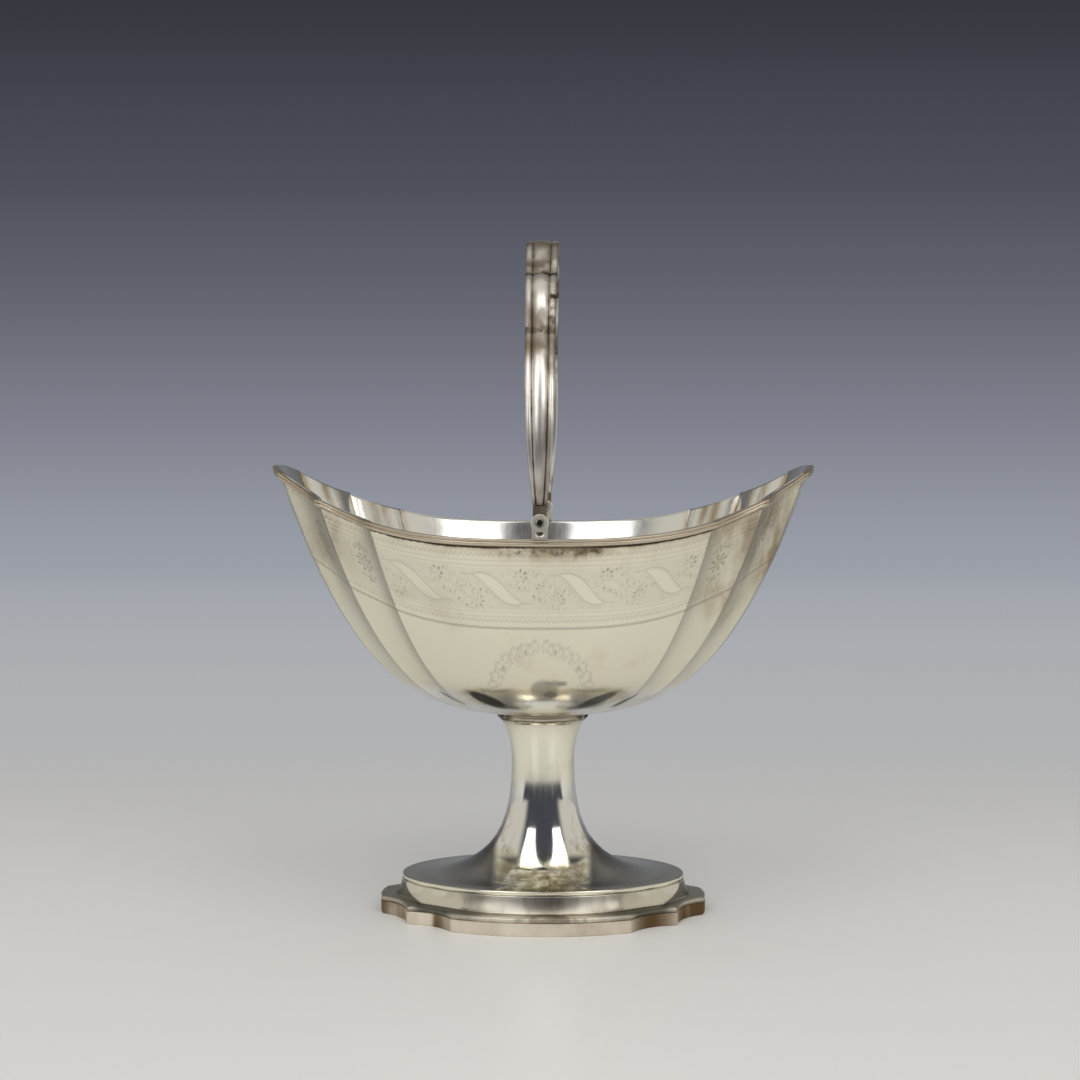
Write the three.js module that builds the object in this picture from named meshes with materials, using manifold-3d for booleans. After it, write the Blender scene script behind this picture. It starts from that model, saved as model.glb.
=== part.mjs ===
// Swing-handled sugar basket in sheet silver: a boat-shaped bowl of twelve panels with a
// moulding round its rim, an oval trumpet stem, a stepped foot with a scalloped edge, and
// a five-lobed reeded handle that swings on two lugs standing on the rim.
// Millimetres, +Z up, long axis along X, front towards -Y.
// The origin is the bottom centre of the foot.

import * as THREE from 'three';
import { mergeVertices } from 'three/addons/utils/BufferGeometryUtils.js';
import Module from 'manifold-3d';

const wasm = await Module();
wasm.setup();

// Gap left for the film of solder between two pieces, and working play at the hinges
const solderGap = 0.3;
const hingePlay = 0.3;

// Bowl: outline at the level of the tips, and its heights above the table
const bowlLength = 143.4;
const bowlWidth = 107.3;
const bowlBottom = 54.5;
const bowlSheet = 1;
const bowlFluteDepth = 1.8;
const bowlFullness = 3.3;
const bowlCorners = [14.8, 34.3, 50];

// Rim line: low at the middle of the long sides, high at the tips
const rimMiddleHeight = 104.2;
const rimTipHeight = 121.5;
const rimSweep = 3.4;

// Moulding wire soldered round the rim: a thin upper bead over a fuller lower bead
const mouldingHeight = 1.8;
const mouldingProjection = 1.1;

// Trumpet stem: half sizes along X and Y at the foot flange, the waist and the top
const stemFlangeHalf = [38.4, 22.7];
const stemWaistHalf = [8.5, 7];
const stemTopHalf = [11.8, 9.4];
const stemFlangeHeight = 10.4;
const stemWaistHeight = 41.7;
const stemFlareHalf = [14, 10.6];
const stemFlareShare = 0.36;
const stemNeckShare = 0.45;
const stemSheet = 1;
const collarHeight = 1.1;
const collarProjection = 0.6;

// Foot: stepped plate on a scalloped edge band
const footLength = 88.6;
const footWidth = 56.4;
const footFluteDepth = 1.8;
const footCorners = [11.7, 36.1, 57.8];
const edgeBandHeight = 3.5;
const edgeBandThickness = 1.6;
const footSheet = 0.9;
const edgeRoll = 0.4;
const footStepLip = 2.4;

// Hinge: forked lugs standing on the rim, pins through them and the eyes of the handle
const pivotAboveRim = 4;
const lugHeadRadius = 2.15;
const lugBodyWidth = 3.8;
const lugCheek = 0.8;
const pinRadius = 0.7;
const pinRecess = 0.15;
const eyeRadius = 1.9;
const eyeThickness = 1.2;

// Handle: a reeded strip in five lobes, given by the joints of its middle line
const handleHeight = 181.6;
const handleThickness = 2.2;
const handleStart = 4.4;
const lowCuspHalfSpan = 42;
const lowCuspHeight = 154.6;
const highCuspHalfSpan = 24;
const highCuspHeight = 169.3;
const legBulge = 6.6;
const shoulderBulge = 5;
const handleFootWidth = 3.4;
const lowCuspWidth = 7.5;
const highCuspWidth = 8.2;
const crestWidth = 8.8;
const legFullness = 3.2;
const middleReedShare = 0.45;

// Sizes that follow from the ones above
const bowlDepth = rimTipHeight - bowlBottom;
const pivotHeight = rimMiddleHeight + pivotAboveRim;
const collarBottom = bowlBottom - solderGap - collarHeight;
const stemTop = collarBottom - solderGap;
const plateBottom = edgeBandHeight + solderGap;
const plateTop = plateBottom + footSheet;
const stepTop = stemFlangeHeight - stemSheet - solderGap;

const mix = THREE.MathUtils.lerp;

const silver = (name, color, roughness) => {
  const material = new THREE.MeshStandardMaterial({ color, roughness, metalness: 1 });
  material.name = name;
  return material;
};

const basket = new THREE.Group();

function addPiece(name, geometry, color, roughness) {
  const mesh = new THREE.Mesh(geometry, silver(`${name}_silver`, color, roughness));
  mesh.name = name;
  basket.add(mesh);
}

// Closed body from rings of equal length. The rings close on themselves; the row of rings
// either joins back to its first ring or ends in a flat fan at each end.
function bodyFromRings(rings, joined) {
  const count = rings[0].length;
  const positions = rings.flat().flatMap((p) => [p.x, p.y, p.z]);
  const index = [];
  const last = joined ? rings.length : rings.length - 1;
  for (let i = 0; i < last; i += 1) {
    const next = (i + 1) % rings.length;
    for (let j = 0; j < count; j += 1) {
      const k = (j + 1) % count;
      const corners = [i * count + j, next * count + j, next * count + k, i * count + k];
      index.push(corners[0], corners[1], corners[2], corners[0], corners[2], corners[3]);
    }
  }
  if (!joined) {
    const ends = [rings[0], rings[rings.length - 1]];
    ends.forEach((ring, end) => {
      const centre = new THREE.Vector3();
      ring.forEach((p) => centre.addScaledVector(p, 1 / count));
      positions.push(centre.x, centre.y, centre.z);
      const hub = rings.length * count + end;
      const start = end === 0 ? 0 : (rings.length - 1) * count;
      for (let j = 0; j < count; j += 1) {
        const k = (j + 1) % count;
        const rim = end === 0 ? [start + j, start + k] : [start + k, start + j];
        index.push(hub, rim[0], rim[1]);
      }
    });
  }
  const geometry = new THREE.BufferGeometry();
  geometry.setAttribute('position', new THREE.Float32BufferAttribute(positions, 3));
  geometry.setIndex(index);
  return turnedOutward(geometry);
}

// Signed volume tells which way the faces point; inward ones are turned round
function turnedOutward(geometry) {
  const position = geometry.getAttribute('position');
  const index = geometry.getIndex().array;
  const [a, b, c] = [new THREE.Vector3(), new THREE.Vector3(), new THREE.Vector3()];
  let volume = 0;
  for (let i = 0; i < index.length; i += 3) {
    a.fromBufferAttribute(position, index[i]);
    b.fromBufferAttribute(position, index[i + 1]);
    c.fromBufferAttribute(position, index[i + 2]);
    volume += a.dot(b.cross(c));
  }
  if (volume < 0) {
    index.reverse();
  }
  return geometry;
}

// Twelve-part outline: corners on an ellipse, plain curved parts at the front, back and
// ends, and hollow scallops between the other corners. Each station has its place, the
// angle it stands for on the ellipse, and the outward direction in plan.
function scallopedOutline(halfLength, halfWidth, cornerDegrees, scallop, steps) {
  const corners = cornerDegrees.map(THREE.MathUtils.degToRad);
  const onEllipse = (angle) => {
    return new THREE.Vector2(halfLength * Math.cos(angle), halfWidth * Math.sin(angle));
  };
  const quarter = [-corners[0], ...corners];
  const half = [...quarter, ...corners.map((angle) => Math.PI - angle).reverse()];
  const marks = [...half, ...half.slice(1, -1).map((angle) => angle + Math.PI)];
  const stations = [];
  marks.forEach((from, part) => {
    const to = part + 1 < marks.length ? marks[part + 1] : marks[0] + 2 * Math.PI;
    const middle = Math.abs(Math.sin((from + to) / 2));
    const isEnd = middle < 1e-6;
    const isSide = middle > 1 - 1e-6;
    const count = isSide ? steps.side : isEnd ? steps.end : steps.scallop;
    const chord = onEllipse(to).sub(onEllipse(from));
    const outward = new THREE.Vector2(chord.y, -chord.x).normalize();
    for (let i = 0; i < count; i += 1) {
      const share = i / count;
      const angle = from + (to - from) * share;
      const place = onEllipse(angle);
      if (!isEnd && !isSide) {
        place.copy(onEllipse(from)).addScaledVector(chord, share);
        place.addScaledVector(outward, -scallop * 4 * share * (1 - share));
      }
      stations.push({ x: place.x, y: place.y, angle });
    }
  });
  stations.forEach((station, i) => {
    const before = stations[(i + stations.length - 1) % stations.length];
    const after = stations[(i + 1) % stations.length];
    const along = new THREE.Vector2(after.x - before.x, after.y - before.y).normalize();
    station.out = new THREE.Vector2(along.y, -along.x);
  });
  return stations;
}

// Plain oval with the same kind of stations
function ovalOutline(halfLength, halfWidth, angles) {
  return angles.map((angle) => {
    const x = halfLength * Math.cos(angle);
    const y = halfWidth * Math.sin(angle);
    const out = new THREE.Vector2(Math.cos(angle) / halfLength, Math.sin(angle) / halfWidth);
    return { x, y, angle, out: out.normalize() };
  });
}

const evenAngles = (count) => Array.from({ length: count }, (_, i) => (i / count) * 2 * Math.PI);

// Point at a station, moved outwards in plan and set at a height
const stationPoint = (station, outwards, height) => {
  const x = station.x + station.out.x * outwards;
  const y = station.y + station.out.y * outwards;
  return new THREE.Vector3(x, y, height);
};

// The bowl's panels: sections at every level are the tip-level outline drawn in towards
// the middle, and the level rises with a power of that share of the full outline
const bowlSteps = { side: 12, end: 4, scallop: 4 };
const bowlStations = scallopedOutline(
  bowlLength / 2, bowlWidth / 2, bowlCorners, bowlFluteDepth, bowlSteps);

const rimHeightAt = (station) => {
  const share = Math.abs(station.x) / (bowlLength / 2);
  return rimMiddleHeight + (rimTipHeight - rimMiddleHeight) * share ** rimSweep;
};

const outlineShareAt = (height) => ((height - bowlBottom) / bowlDepth) ** (1 / bowlFullness);

const bowlPoint = (station, share, inwards) => {
  const slope = bowlDepth * bowlFullness * share ** (bowlFullness - 1);
  const reach = station.x * station.out.x + station.y * station.out.y;
  const length = Math.hypot(slope, reach);
  const shrunk = { x: station.x * share, y: station.y * share, out: station.out };
  const height = bowlBottom + bowlDepth * share ** bowlFullness;
  return stationPoint(shrunk, (-inwards * slope) / length, height + (inwards * reach) / length);
};

// Point on the bowl's outside at a height, moved outwards in plan
const bowlFacePoint = (station, height, outwards) => {
  const share = outlineShareAt(height);
  const shrunk = { x: station.x * share, y: station.y * share, out: station.out };
  return stationPoint(shrunk, outwards, height);
};

const growth = (count, power) => {
  return Array.from({ length: count }, (_, i) => ((i + 1) / count) ** power);
};

function bowlShell() {
  const ring = (part, inwards) => bowlStations.map((station) => {
    const level = rimHeightAt(station);
    const overshoot = bowlPoint(station, outlineShareAt(level), inwards).z - level;
    return bowlPoint(station, outlineShareAt(level - overshoot) * part, inwards);
  });
  const outer = growth(12, 0.8).map((part) => ring(part, 0));
  const inner = growth(9, 0.8).map((part) => ring(part, bowlSheet)).reverse();
  return bodyFromRings([...outer, ...inner], false);
}

// Moulding wire: section as shares of its projection and height, from its lower edge up
// to the level of the rim
function rimMoulding() {
  const section = [
    [0, 0],
    [0.6, 0],
    [0.92, 0.12],
    [1, 0.32],
    [0.84, 0.5],
    [0.6, 0.56],
    [0.8, 0.68],
    [0.84, 0.84],
    [0.66, 1],
    [0, 1],
  ];
  const rings = section.map(([out, up]) => bowlStations.map((station) => {
    const level = rimHeightAt(station) - (1 - up) * mouldingHeight;
    return bowlFacePoint(station, level, solderGap + out * mouldingProjection);
  }));
  return bodyFromRings(rings, true);
}

// Stem: two curves of growing oval sections, flange to waist and waist to top
const stemLower = new THREE.CubicBezierCurve3(
  new THREE.Vector3(...stemFlangeHalf, stemFlangeHeight),
  new THREE.Vector3(...stemFlareHalf, stemFlangeHeight),
  new THREE.Vector3(...stemWaistHalf, mix(stemFlangeHeight, stemWaistHeight, stemFlareShare)),
  new THREE.Vector3(...stemWaistHalf, stemWaistHeight),
);
const stemUpper = new THREE.CubicBezierCurve3(
  new THREE.Vector3(...stemWaistHalf, stemWaistHeight),
  new THREE.Vector3(...stemWaistHalf, mix(stemWaistHeight, stemTop, stemNeckShare)),
  new THREE.Vector3(
    mix(stemWaistHalf[0], stemTopHalf[0], stemNeckShare),
    mix(stemWaistHalf[1], stemTopHalf[1], stemNeckShare),
    mix(stemWaistHeight, stemTop, 1 - stemNeckShare / 3)),
  new THREE.Vector3(...stemTopHalf, stemTop),
);

// Profile of the stem at one angle, moved in by the thickness of the sheet
function stemRing(curve, share, inwards, angles) {
  const half = curve.getPoint(share);
  const along = curve.getTangent(share);
  return angles.map((angle) => {
    const cos = Math.cos(angle);
    const sin = Math.sin(angle);
    const across = new THREE.Vector3(-half.x * sin, half.y * cos, 0);
    const up = new THREE.Vector3(along.x * cos, along.y * sin, along.z);
    const outward = across.cross(up).normalize();
    return new THREE.Vector3(half.x * cos, half.y * sin, half.z).addScaledVector(outward, -inwards);
  });
}

const shares = (count, from) => {
  return Array.from({ length: count + 1 - from }, (_, i) => (i + from) / count);
};

function footStem() {
  const angles = evenAngles(32);
  const rings = (inwards, lowerCount, upperCount) => [
    ...shares(lowerCount, 0).map((share) => stemRing(stemLower, share, inwards, angles)),
    ...shares(upperCount, 1).map((share) => stemRing(stemUpper, share, inwards, angles)),
  ];
  const outer = rings(0, 10, 4);
  const inner = rings(stemSheet, 8, 3);
  const level = (ring, height) => ring.map((p) => p.setZ(height));
  level(inner[0], stemFlangeHeight - stemSheet);
  level(inner[inner.length - 1], stemTop);
  return bodyFromRings([...outer, ...inner.reverse()], true);
}

// Wire ring between the stem and the bowl
function stemCollar() {
  const stations = ovalOutline(...stemTopHalf, evenAngles(32));
  const section = [
    [-stemSheet, 0],
    [collarProjection * 0.5, 0],
    [collarProjection, 0.5],
    [collarProjection * 0.5, 1],
    [-stemSheet, 1],
  ];
  const rings = section.map(([out, up]) => stations.map((station) => {
    return stationPoint(station, out, collarBottom + up * collarHeight);
  }));
  return bodyFromRings(rings, true);
}

// Foot plate: from the scalloped edge over a ledge, then up a moulded step to a plain oval
const footSteps = { side: 10, end: 4, scallop: 4 };
const footStations = scallopedOutline(
  footLength / 2, footWidth / 2, footCorners, footFluteDepth, footSteps);

function footBase() {
  const angles = footStations.map((station) => station.angle);
  const oval = ovalOutline(...stemFlangeHalf, angles);
  const blend = (share, out, height) => footStations.map((station, i) => {
    const outer = stationPoint(station, out * share, height);
    const inner = stationPoint(oval[i], out * (1 - share), height);
    return inner.lerp(outer, share);
  });
  const rise = stepTop - plateTop;
  const outside = [
    blend(1, 0, plateBottom),
    blend(1, 0, plateTop - edgeRoll),
    blend(1, -edgeRoll, plateTop + edgeRoll / 2),
    blend(0.8, -edgeRoll, plateTop + rise * 0.25),
    blend(0.5, -edgeRoll, plateTop + rise * 0.34),
    blend(0.24, 0, plateTop + rise * 0.42),
    blend(0.13, 0, plateTop + rise * 0.52),
    blend(0.05, 0, plateTop + rise * 0.7),
    blend(0, 0, plateTop + rise * 0.92),
    blend(0, -edgeRoll / 2, stepTop),
    blend(0, -footStepLip, stepTop),
  ];
  const inside = [
    blend(0, -footStepLip, stepTop - footSheet),
    blend(0, -footSheet - edgeRoll, stepTop - footSheet),
    blend(0.2, -footSheet, plateTop + rise * 0.34 - footSheet),
    blend(0.6, -footSheet, plateTop + rise * 0.28 - footSheet),
    blend(0.95, -edgeBandThickness, plateBottom),
  ];
  return bodyFromRings([...outside, ...inside], true);
}

function footEdgeBand() {
  const section = [
    [0, 0],
    [0, edgeBandHeight],
    [-edgeBandThickness, edgeBandHeight],
    [-edgeBandThickness, 0],
  ];
  const rings = section.map(([out, height]) => {
    return footStations.map((station) => stationPoint(station, out, height));
  });
  return bodyFromRings(rings, true);
}

// Hinge planes, measured outwards from the middle of the bowl along Y. The lug is centred
// over the sheet and the moulding together.
const sideMiddle = bowlStations.find((station) => station.y > 0 && Math.abs(station.x) < 1e-6);
const wallReach = bowlFacePoint(sideMiddle, rimMiddleHeight, 0).y;
const pivotReach = wallReach + (solderGap + mouldingProjection - bowlSheet) / 2;
const slotHalf = eyeThickness / 2 + hingePlay;
const lugBack = pivotReach - slotHalf - lugCheek;
const lugFace = pivotReach + slotHalf + lugCheek;
const lugTop = pivotHeight + lugHeadRadius;
const lugBottom = rimMiddleHeight + solderGap;
const boreRadius = pinRadius + hingePlay;

function asManifold(geometry) {
  const bare = geometry.clone();
  bare.deleteAttribute('normal');
  bare.deleteAttribute('uv');
  const merged = mergeVertices(bare, 1e-5);
  const vertProperties = Float32Array.from(merged.getAttribute('position').array);
  const triVerts = Uint32Array.from(merged.getIndex().array);
  return new wasm.Manifold(new wasm.Mesh({ numProp: 3, vertProperties, triVerts }));
}

function fromManifold(solid) {
  const mesh = solid.getMesh();
  const geometry = new THREE.BufferGeometry();
  geometry.setAttribute('position', new THREE.BufferAttribute(mesh.vertProperties, 3));
  geometry.setIndex(new THREE.BufferAttribute(mesh.triVerts, 1));
  return geometry;
}

// Plate with its outline in the X-Z plane, from one Y to another
function plateAcross(shape, fromY, toY) {
  const options = { depth: toY - fromY, bevelEnabled: false, curveSegments: 6 };
  const geometry = new THREE.ExtrudeGeometry(shape, options);
  return geometry.rotateX(Math.PI / 2).translate(0, toY, 0);
}

const roundHole = (radius, height) => new THREE.Path().absarc(0, height, radius, 0, 2 * Math.PI, true);

// Lug: keyhole outline seen from the side of the bowl, cut through a fork seen from its end
function hingeLug() {
  const half = lugBodyWidth / 2;
  const neck = Math.asin(half / lugHeadRadius);
  const front = new THREE.Shape();
  front.moveTo(half, lugBottom);
  front.absarc(0, pivotHeight, lugHeadRadius, neck - Math.PI / 2, Math.PI * 1.5 - neck, false);
  front.lineTo(-half, lugBottom);
  front.holes.push(roundHole(boreRadius, pivotHeight));
  const keyhole = plateAcross(front, lugBack - lugCheek, lugFace + lugCheek);

  const slotFloor = pivotHeight - eyeRadius - hingePlay;
  const above = lugTop + lugCheek;
  const side = new THREE.Shape([
    new THREE.Vector2(lugBack, lugBottom),
    new THREE.Vector2(lugFace, lugBottom),
    new THREE.Vector2(lugFace, above),
    new THREE.Vector2(pivotReach + slotHalf, above),
    new THREE.Vector2(pivotReach + slotHalf, slotFloor),
    new THREE.Vector2(pivotReach - slotHalf, slotFloor),
    new THREE.Vector2(pivotReach - slotHalf, above),
    new THREE.Vector2(lugBack, above),
  ]);
  const width = 4 * lugHeadRadius;
  const fork = new THREE.ExtrudeGeometry(side, { depth: width, bevelEnabled: false });
  const turn = new THREE.Matrix4().makeBasis(
    new THREE.Vector3(0, 1, 0), new THREE.Vector3(0, 0, 1), new THREE.Vector3(1, 0, 0));
  fork.applyMatrix4(turn).translate(-width / 2, 0, 0);
  return fromManifold(asManifold(keyhole).intersect(asManifold(fork)));
}

function hingePin() {
  const length = lugFace - lugBack - 2 * pinRecess;
  const pin = new THREE.CylinderGeometry(pinRadius, pinRadius, length, 12);
  return pin.translate(0, pivotReach, pivotHeight);
}

// Tip of the handle: a flat eye on a short neck that widens to the strip
function handleTip() {
  const top = pivotHeight + handleStart - solderGap;
  const halfNeck = handleFootWidth / 2;
  const shape = new THREE.Shape();
  const spread = Math.PI / 4;
  shape.moveTo(halfNeck, top);
  shape.lineTo(-halfNeck, top);
  shape.absarc(0, pivotHeight, eyeRadius, Math.PI - spread, 2 * Math.PI + spread, false);
  shape.holes.push(roundHole(boreRadius, pivotHeight));
  return plateAcross(shape, pivotReach - eyeThickness / 2, pivotReach + eyeThickness / 2);
}

// Middle line of the handle in the Y-Z plane: five bowed stretches meeting at cusps
const handleJoints = [
  [pivotReach, pivotHeight + handleStart],
  [lowCuspHalfSpan, lowCuspHeight],
  [highCuspHalfSpan, highCuspHeight],
  [-highCuspHalfSpan, highCuspHeight],
  [-lowCuspHalfSpan, lowCuspHeight],
  [-pivotReach, pivotHeight + handleStart],
].map(([y, z]) => new THREE.Vector2(y, z));
const crestBulge = handleHeight - handleThickness / 2 - highCuspHeight;

const easeOut = (share, power) => 1 - (1 - share) ** power;
const handleStretches = [
  { bulge: legBulge, steps: 10, width: (s) => mix(handleFootWidth, lowCuspWidth, easeOut(s, legFullness)) },
  { bulge: shoulderBulge, steps: 5, width: (s) => mix(lowCuspWidth, highCuspWidth, s) },
  { bulge: crestBulge, steps: 10, width: (s) => mix(highCuspWidth, crestWidth, 4 * s * (1 - s)) },
  { bulge: shoulderBulge, steps: 5, width: (s) => mix(highCuspWidth, lowCuspWidth, s) },
  { bulge: legBulge, steps: 10, width: (s) => mix(handleFootWidth, lowCuspWidth, easeOut(1 - s, legFullness)) },
];

// Stations along the middle line: place, outward direction, strip width and mitre stretch
function handleStations() {
  const stations = [];
  handleStretches.forEach((stretch, i) => {
    const chord = handleJoints[i + 1].clone().sub(handleJoints[i]);
    const outward = new THREE.Vector2(chord.y, -chord.x).normalize();
    for (let step = 0; step <= stretch.steps; step += 1) {
      const s = step / stretch.steps;
      const place = handleJoints[i].clone().addScaledVector(chord, s);
      place.addScaledVector(outward, stretch.bulge * 4 * s * (1 - s));
      const along = chord.clone().addScaledVector(outward, stretch.bulge * 4 * (1 - 2 * s));
      const out = new THREE.Vector2(along.y, -along.x).normalize();
      const before = stations[stations.length - 1];
      if (step === 0 && before) {
        const bisector = before.out.clone().add(out).normalize();
        before.stretch = 1 / bisector.dot(out);
        before.out = bisector;
      } else {
        stations.push({ place, out, width: stretch.width(s), stretch: 1 });
      }
    }
  });
  const feet = [stations[0], stations[stations.length - 1]];
  feet.forEach((foot) => foot.out.set(Math.sign(foot.place.x), 0));
  return stations;
}

// Section of the strip: flat inside, and a wide reed between two narrow ones outside.
// Each point is a share of the half width and of the thickness.
function reededSection() {
  const groove = 0.62;
  const reed = (centre, halfWidth, crown, steps) => shares(steps, 0).map((s) => {
    const angle = Math.PI * (1 - s);
    const lift = Math.sin(angle) * (crown - groove);
    return [centre + halfWidth * Math.cos(angle), groove + lift];
  });
  const narrow = (1 - middleReedShare) / 2;
  const places = [
    ...reed(-1 + narrow, narrow, 0.88, 3),
    ...reed(0, middleReedShare, 1, 6).slice(1),
    ...reed(1 - narrow, narrow, 0.88, 3).slice(1),
  ];
  return [[-1, 0.06], [-0.94, 0], ...[[0.94, 0], [1, 0.06]], ...places.reverse()];
}

function handleArch() {
  const section = reededSection();
  const rings = handleStations().map((station) => section.map(([across, through]) => {
    const lift = (through - 0.5) * handleThickness * station.stretch;
    const y = station.place.x + station.out.x * lift;
    const z = station.place.y + station.out.y * lift;
    return new THREE.Vector3((across * station.width) / 2, y, z);
  }));
  return bodyFromRings(rings, false);
}

addPiece('bowl_shell', bowlShell(), 0xd9d4c2, 0.12);
addPiece('rim_moulding', rimMoulding(), 0xc9bfa8, 0.18);
addPiece('stem_collar', stemCollar(), 0xb9ad92, 0.22);
addPiece('foot_stem', footStem(), 0xd2cebf, 0.1);
addPiece('foot_base', footBase(), 0xc4c1bb, 0.12);
addPiece('foot_edge_band', footEdgeBand(), 0xc0aa94, 0.25);

// The front pieces are the back ones turned half round
const sides = [['front', Math.PI], ['back', 0]];
sides.forEach(([side, turn]) => {
  addPiece(`hinge_lug_${side}`, hingeLug().rotateZ(turn), 0xc8beab, 0.2);
  addPiece(`hinge_pin_${side}`, hingePin().rotateZ(turn), 0x9a9082, 0.3);
  addPiece(`handle_tip_${side}`, handleTip().rotateZ(turn), 0xcfc9ba, 0.18);
});
addPiece('handle_arch', handleArch(), 0xd6d2c6, 0.12);

export default basket;
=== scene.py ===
# Looks of the swing-handled silver sugar basket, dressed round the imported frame.
# Lengths of the basket are millimetres and make_piece turns them into metres; the studio is in
# metres. Marks are strengths from 0 up, kept on the points of a mesh and read by its material.

import functools
import math

import bpy
import numpy as np
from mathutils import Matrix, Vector


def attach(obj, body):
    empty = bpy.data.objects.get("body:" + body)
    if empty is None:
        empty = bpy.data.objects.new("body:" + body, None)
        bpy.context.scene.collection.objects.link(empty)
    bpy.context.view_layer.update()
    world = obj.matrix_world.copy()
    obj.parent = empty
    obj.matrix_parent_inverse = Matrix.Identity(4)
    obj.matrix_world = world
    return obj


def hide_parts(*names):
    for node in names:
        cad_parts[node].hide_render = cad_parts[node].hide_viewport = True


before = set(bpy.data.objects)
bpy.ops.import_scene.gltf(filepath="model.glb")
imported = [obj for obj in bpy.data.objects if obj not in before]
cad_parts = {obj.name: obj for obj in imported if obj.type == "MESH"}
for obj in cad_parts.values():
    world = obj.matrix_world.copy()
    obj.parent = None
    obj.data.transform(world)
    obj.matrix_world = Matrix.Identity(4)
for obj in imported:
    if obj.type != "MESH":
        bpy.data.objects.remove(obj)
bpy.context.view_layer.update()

MM = 0.001

# Bowl
BOWL_HALF_LENGTH = 71.7
BOWL_HALF_WIDTH = 53.65
BOWL_BOTTOM = 54.5
BOWL_SHEET = 1.0
BOWL_FULLNESS = 3.3
BOWL_CORNERS = (14.8, 34.3, 50.0)
BOWL_FLUTE = 1.8
RIM_MIDDLE = 104.2
RIM_TIP = 121.5
RIM_SWEEP = 3.4
BOWL_DEPTH = RIM_TIP - BOWL_BOTTOM
BOWL_SPACING = 0.3
LOWER_ROWS = 74
INNER_ROWS = 36
ROW_CROWDING = 0.85

# Moulding round the rim
JOINT_GAP = 0.3
MOULDING_HEIGHT = 1.8
MOULDING_PROJECTION = 1.1
MOULDING_SPACING = 0.9

# Beads of the moulding: first and last turn in degrees, middle and bulge outwards, middle and
# half upwards as shares of the wire, and film between them
MOULDING_BEADS = (
    (-90, 62, 0.5, 0.5, 0.3, 0.3, 0.5),
    (-68, 90, 0.45, 0.39, 0.78, 0.22, 0.7),
)

# Stem and foot
FLANGE_HALF = (38.4, 22.7)
FLARE_HALF = (14.0, 10.6)
WAIST_HALF = (8.5, 7.0)
STEM_TOP_HALF = (11.8, 9.4)
FLANGE_HEIGHT = 10.4
WAIST_HEIGHT = 41.7
FLARE_SHARE = 0.36
NECK_SHARE = 0.45
COLLAR_HEIGHT = 1.1
COLLAR_PROJECTION = 0.6
COLLAR_BOTTOM = BOWL_BOTTOM - JOINT_GAP - COLLAR_HEIGHT
STEM_TOP = COLLAR_BOTTOM - JOINT_GAP
STEM_SHEET = 1.0
FLANGE_ROLL = 0.3
OVAL_STATIONS = 144
FOOT_HALF_LENGTH = 44.3
FOOT_HALF_WIDTH = 28.2
FOOT_CORNERS = (11.7, 36.1, 57.8)
FOOT_FLUTE = 1.8
FOOT_SPACING = 0.6
BAND_HEIGHT = 3.5
BAND_THICKNESS = 1.6
PLATE_SHEET = 0.9
PLATE_TOP = BAND_HEIGHT + JOINT_GAP + PLATE_SHEET
PLATE_ROLL = 0.4
LEDGE_SLOPE = 0.35
STEP_TOP = FLANGE_HEIGHT - STEM_SHEET - JOINT_GAP
STEP_SPREAD = 0.34
STEP_TUCK = 0.4
STEP_TREAD = 2.4
BAND_SOFT_EDGE = 0.22
BAND_CRISP = 11

# Hinge and handle
PIVOT_HEIGHT = RIM_MIDDLE + 4.0
LUG_HEAD_RADIUS = 2.15
LUG_BODY_HALF = 1.9
LUG_CHEEK = 0.8
CRESCENT_DEPTH = 0.3
PIN_RADIUS = 0.7
BORE_RADIUS = 1.0
PIN_RECESS = 0.15
EYE_RADIUS = 1.9
EYE_THICKNESS = 1.2
EYE_CLEARANCE = 0.3
SLOT_HALF = EYE_THICKNESS / 2 + EYE_CLEARANCE
LUG_BEVEL = 0.18
EYE_BEVEL = 0.2
HANDLE_TOP = 181.6
HANDLE_THICKNESS = 2.2
HANDLE_START = 4.4
LOW_CUSP = (42.0, 154.6)
HIGH_CUSP = (24.0, 169.3)
LEG_BULGE = 6.55
SHOULDER_BULGE = 5.0
FOOT_WIDTH = 3.4
LOW_CUSP_WIDTH = 7.5
HIGH_CUSP_WIDTH = 8.2
CREST_WIDTH = 8.8
LEG_FULLNESS = 3.2
MIDDLE_REED = 0.54
REED_GROOVE = 0.6
HINGE_CRISP = 25
HANDLE_CRISP = 24
EYE_STATIONS = 96
PIN_STATIONS = 32

# Brown stretches of the handle: height of the middle and reach
HANDLE_BROWN = ((113.5, 6.0), (151.0, 4.0), (158.5, 5.0), (172.4, 3.0), (179.0, 2.5))

# Engraved bands, as depths below the rim line
UPPER_BORDER = (2.4, 6.6)
FRIEZE = (6.6, 18.7)
FRIEZE_MIDDLE = (FRIEZE[0] + FRIEZE[1]) / 2
LOWER_BORDER = (18.7, 22.8)
CUT_DEPTH = 0.11
PATTERN_SCALE = 0.88
ZIGZAG_PITCH = 1.25
ZIGZAG_HEIGHT = 0.85
PRICK_PITCH = 0.85
LEAF_PITCH = 22.0
LEAF_HALF_LENGTH = 6.5
LEAF_RISE = 3.6
LEAF_HALF_WIDTH = 1.8
TAIL_LENGTH = 2.6
SPRAY_HALF_LENGTH = 6.8
SPRAY_RISE = 3.3
SPRAY_LEAFLETS = 19
LEAFLET_SPREAD = 8.6
ROSETTE_REACH = 2.7
WREATH_MIDDLE = 64.6
WREATH_RADIUS = 13.4
WREATH_PAIRS = 14
WREATH_PITCH = 2.9

# Flowers of a spray: place along it, petals, reach and strength
SPRAY_FLOWERS = ((-4.8, 7, 1.45, 1.0), (0.4, 5, 1.1, 0.55), (4.9, 8, 1.5, 0.75))


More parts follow.
